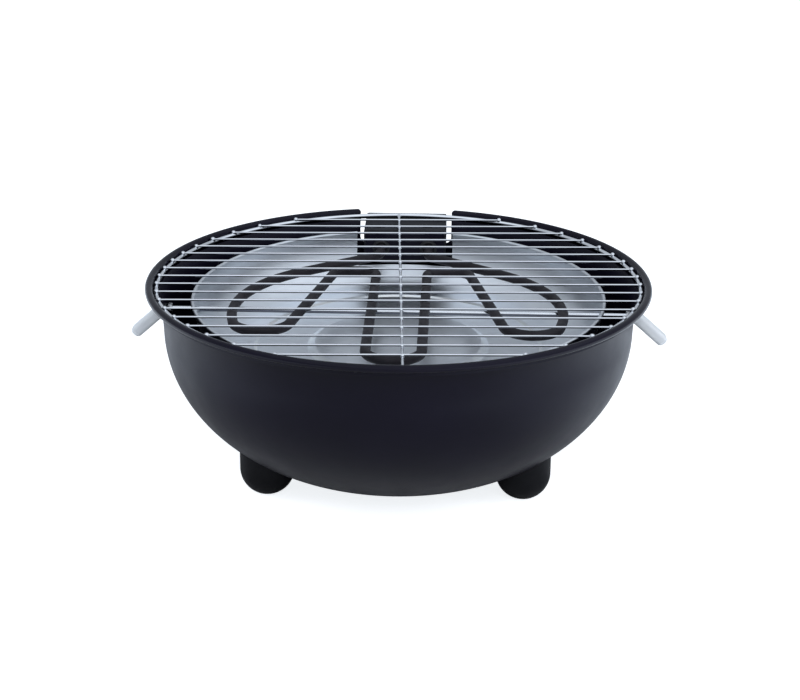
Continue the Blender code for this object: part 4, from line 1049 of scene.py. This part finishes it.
def make_screws():
    """The cover's four cross-head screws."""
    top = 2.2
    outline = [(0.0, -14.0), (1.2, -14.0), (1.6, -13.2), (1.6, 0.3), (3.0, 0.3)]
    outline += arc((0.0, 0.8), 3.0, top - 0.8, 0.0, 0.5 * math.pi, 10)
    screw = make_object("screw", along_y(turned(in_mm(outline), 32), 0.0, -AXIS_Y, 0.0))
    for turn in (20.0, 110.0):
        spin = Matrix.Rotation(math.radians(turn), 4, "Y")
        crown = Matrix.Translation((0.0, top * MM - AXIS_Y, 0.0))
        cut(screw, placed(block(3.4 * MM, 1.6 * MM, 0.75 * MM), crown @ spin))
    bm = bmesh.new()
    for x, z in screw_spots():
        bm.verts.new((x, BOX_BACK, z))
    tree = Tree("cover_screws")
    source = tree.node("GeometryNodeObjectInfo", {"Object": tree.size("Screw", screw, "NodeSocketObject")})
    laid = tree.instances(tree.start.outputs[0], source.outputs["Geometry"])
    piece = tree.grow(laid, ZINC, make_object("cover_screws", bm))
    bpy.data.objects.remove(screw, do_unlink=True)
    names = [f"cover_screw_{row}_{side}" for row in ("lower", "upper") for side in ("left", "right")]
    dress(piece, ZINC, "element_unit", names, 30.0)


def make_knob():
    """The fluted knob with a painted pointer."""
    outline = [(3.3, 0.0), (14.6, 0.0), (15.0, 0.4), (15.0, 1.8), (14.6, 2.5), (13.6, 3.0), (12.1, 3.1), (11.5, 3.7)]
    outline += [(11.5 - 0.1 * k, 3.7 + k) for k in range(1, 9)]
    outline += arc((8.9, 12.2), 1.8, 1.8, 0.0, 0.5 * math.pi, 6)
    outline += [(0.0, 14.0), (0.0, 8.3), (3.3, 8.3)]
    knob = turned(in_mm(outline), 240)
    for vert in knob.verts:
        radius = math.hypot(vert.co.x, vert.co.y)
        if vert.co.z > FLUTE_LOW and FLUTE_RADII[0] < radius < FLUTE_RADII[1]:
            wave = 0.5 - 0.5 * math.cos(FLUTES * math.atan2(vert.co.y, vert.co.x))
            vert.co.xy *= 1.0 - wave ** 2 * FLUTE_DEPTH / radius
    piece = make_object("knob_moulding", along_y(knob, 0.0, KNOB_BACK, KNOB_Z))
    dress(piece, KNOB, "knob", ("temperature_knob",))
    place = Matrix.Translation((0.0, KNOB_BACK + KNOB_HEIGHT - 0.03 * MM, KNOB_Z + 4.6 * MM))
    pointer = make_object("knob_pointer", placed(block(1.1 * MM, 0.12 * MM, 6.5 * MM), place))
    dress(pointer, MARK, "knob")


# Carried-over pieces

def paint_nodes():
    """Finishes for the pieces that keep their modelled shape."""
    finishes = {"terminal_pin": ZINC, "terminal_block": CERAMIC, "thermostat": CERAMIC, "knob_shaft": ZINC,
                "indicator_lamp": CERAMIC, "face_plate": ENAMEL, "foot_screw": ZINC}
    for name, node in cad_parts.items():
        for start, material in finishes.items():
            if name.startswith(start):
                node.data.materials.clear()
                node.data.materials.append(material)


# Studio

# The photograph's camera, from the middle of the rim
PHOTO_WIDTH = 800.0
FOCAL_PIXELS = 1894.07
SENSOR = 36.0
EYE = Vector((0.04221, -1.24994, 0.41276))
TARGET = Vector((0.00127, 0.00007, -0.05137))
ROLL = 0.0063

# Light levels, where 1 is white, and the directions or places between which they grow
FILL_LEVEL = 0.42
BEHIND = (-0.25, 0.2)
SIDES = (0.25, 0.65)
WALL_LEVEL = 0.52
FRONT = (0.0, 0.35)
FRONT_LEVEL = 0.14
SKY = (0.3, 0.75)
SKY_LEAN = 0.5
SKY_TURN = 0.3
FLOOR_GLOW = 0.86
# Centre and reach of the painted shadow round the grill in the floor's glow as metal shows it
PAINTED_SHADOW_CENTRE = -0.04
PAINTED_SHADOW_REACH = (0.13, 0.36)
FLOOR_SIZE = 4.0

# Name, place, size, power and colour
LAMPS = [("front_box", (0.2, -1.3, 1.2), (1.6, 0.8), 12.0, (0.96, 0.98, 1.0)),
         ("left_box", (-1.4, -0.1, 0.6), (0.6, 0.8), 5.0, (0.93, 0.965, 1.0)),
         ("right_box", (1.4, -0.3, 0.6), (0.6, 0.8), 6.0, (0.93, 0.965, 1.0))]


def add_camera():
    """The photograph's viewpoint."""
    data = bpy.data.cameras.new("camera")
    data.sensor_fit = "HORIZONTAL"
    data.sensor_width = SENSOR
    data.lens = SENSOR * FOCAL_PIXELS / PHOTO_WIDTH
    data.clip_start = 0.01
    data.clip_end = 50.0
    ahead = (TARGET - EYE).normalized()
    level = ahead.cross(Vector((0.0, 0.0, 1.0))).normalized()
    above = level.cross(ahead)
    right = level * math.cos(ROLL) + above * math.sin(ROLL)
    up = above * math.cos(ROLL) - level * math.sin(ROLL)
    camera = bpy.data.objects.new("camera", data)
    place = Matrix.Translation(EYE + Vector((0.0, AXIS_Y, RIM_Z)))
    camera.matrix_world = place @ Matrix((right, up, -ahead)).transposed().to_4x4()
    bpy.context.scene.collection.objects.link(camera)
    bpy.context.scene.camera = camera


def add_lamps():
    """Soft boxes that aim at the bowl and don't show in metal."""
    middle = Vector((0.0, AXIS_Y, RIM_Z * 0.7))
    for name, place, size, power, colour in LAMPS:
        data = bpy.data.lights.new(name, "AREA")
        data.shape = "RECTANGLE"
        data.size, data.size_y = size
        data.energy = power
        data.color = colour
        lamp = bpy.data.objects.new(name, data)
        lamp.visible_glossy = False
        lamp.location = place
        lamp.rotation_euler = (middle - Vector(place)).to_track_quat("-Z", "Y").to_euler()
        bpy.context.scene.collection.objects.link(lamp)


def ease(net, value, ends):
    """A value eased from 0 to 1 between two ends."""
    return net.spread(value, 0.0, 1.0, *ends, interpolation_type="SMOOTHSTEP")


def shine_of(net, path):
    """1 for what is seen in metal or through glass."""
    return net.maths("MAXIMUM", path["Is Glossy Ray"], path["Is Transmission Ray"])


def add_world():
    """Soft even light; the white surround shows to the eye, and above, behind and beside the grill in metal."""
    world = bpy.data.worlds.new("studio")
    world.use_nodes = True
    net = Net(world.node_tree)
    path = net.node("ShaderNodeLightPath").outputs
    x, y, z = net.parts(net.node("ShaderNodeTexCoord").outputs["Generated"])
    edges = net.maths("MAXIMUM", ease(net, y, BEHIND), ease(net, net.maths("ABSOLUTE", x), SIDES))
    walls = net.maths("MULTIPLY", edges, WALL_LEVEL)
    front = net.maths("MULTIPLY", ease(net, z, FRONT), FRONT_LEVEL)
    leaned = net.maths("MULTIPLY_ADD", y, -SKY_LEAN, z)
    overhead = ease(net, net.maths("MULTIPLY_ADD", x, SKY_TURN, leaned), SKY)
    surround = net.maths("MAXIMUM", net.maths("MAXIMUM", walls, front), overhead)
    shine = shine_of(net, path)
    dull = net.maths("MULTIPLY", net.maths("SUBTRACT", 1.0, shine), FILL_LEVEL)
    room = net.tree.nodes["Background"]
    room.inputs["Color"].default_value = (0.84, 0.91, 1.0, 1.0)
    net.link(net.maths("MULTIPLY_ADD", surround, shine, dull), room.inputs["Strength"])
    white = net.node("ShaderNodeBackground", {"Color": (1.0, 1.0, 1.0, 1.0)})
    both = net.node("ShaderNodeMixShader", {0: path["Is Camera Ray"], 1: room.outputs[0], 2: white.outputs[0]})
    net.link(both.outputs[0], net.tree.nodes["World Output"].inputs["Surface"])
    bpy.context.scene.world = world


def floor_material():
    """White to the eye, pale behind and beside the grill in metal with a painted shadow in front of and near the
    grill, and matt, so that it keeps a faint cast shadow.
    """
    material = bpy.data.materials.new("pale_floor")
    material.use_nodes = True
    net = Net(material.node_tree)
    net.tree.nodes.remove(net.tree.nodes["Principled BSDF"])
    path = net.node("ShaderNodeLightPath").outputs
    x, y, _ = net.parts(net.node("ShaderNodeTexCoord").outputs["Object"])
    # Painted shadow: the floor's glow seen in metal fades out in front of and close beside the grill
    beside = net.maths("ABSOLUTE", net.maths("SUBTRACT", x, PAINTED_SHADOW_CENTRE))
    outside_painted_shadow = ease(net, net.maths("MAXIMUM", beside, y), PAINTED_SHADOW_REACH)
    matt = net.node("ShaderNodeBsdfDiffuse", {"Color": (0.80, 0.81, 0.82, 1.0)})
    glow = net.node("ShaderNodeEmission", {
        "Color": (0.95, 0.975, 1.0, 1.0), "Strength": net.maths("MULTIPLY", path["Is Camera Ray"], FLOOR_GLOW)})
    mirrored = net.node("ShaderNodeEmission", {
        "Color": (0.76, 0.86, 1.0, 1.0), "Strength": net.maths("MULTIPLY", shine_of(net, path), outside_painted_shadow)})
    lit = net.node("ShaderNodeAddShader", {0: glow.outputs[0], 1: mirrored.outputs[0]})
    both = net.node("ShaderNodeAddShader", {0: matt.outputs[0], 1: lit.outputs[0]})
    net.link(both.outputs[0], net.tree.nodes["Material Output"].inputs["Surface"])
    return material


def add_floor():
    """The floor, a hair under the feet."""
    bm = bmesh.new()
    bmesh.ops.create_grid(bm, x_segments=1, y_segments=1, size=FLOOR_SIZE)
    mesh = bpy.data.meshes.new("floor")
    bm.to_mesh(mesh)
    bm.free()
    mesh.materials.append(floor_material())
    floor = bpy.data.objects.new("floor", mesh)
    floor.location = (0.0, 0.0, -0.2 * MM)
    bpy.context.scene.collection.objects.link(floor)


for make in (make_bowl, make_feet, make_rod, make_grips, make_pan, make_element, make_seals, make_housing,
             make_cover, make_lens, make_gland, make_screws, make_knob, make_grate, paint_nodes,
             add_camera, add_world, add_floor, add_lamps):
    make()
bpy.context.scene.view_settings.view_transform = "Standard"
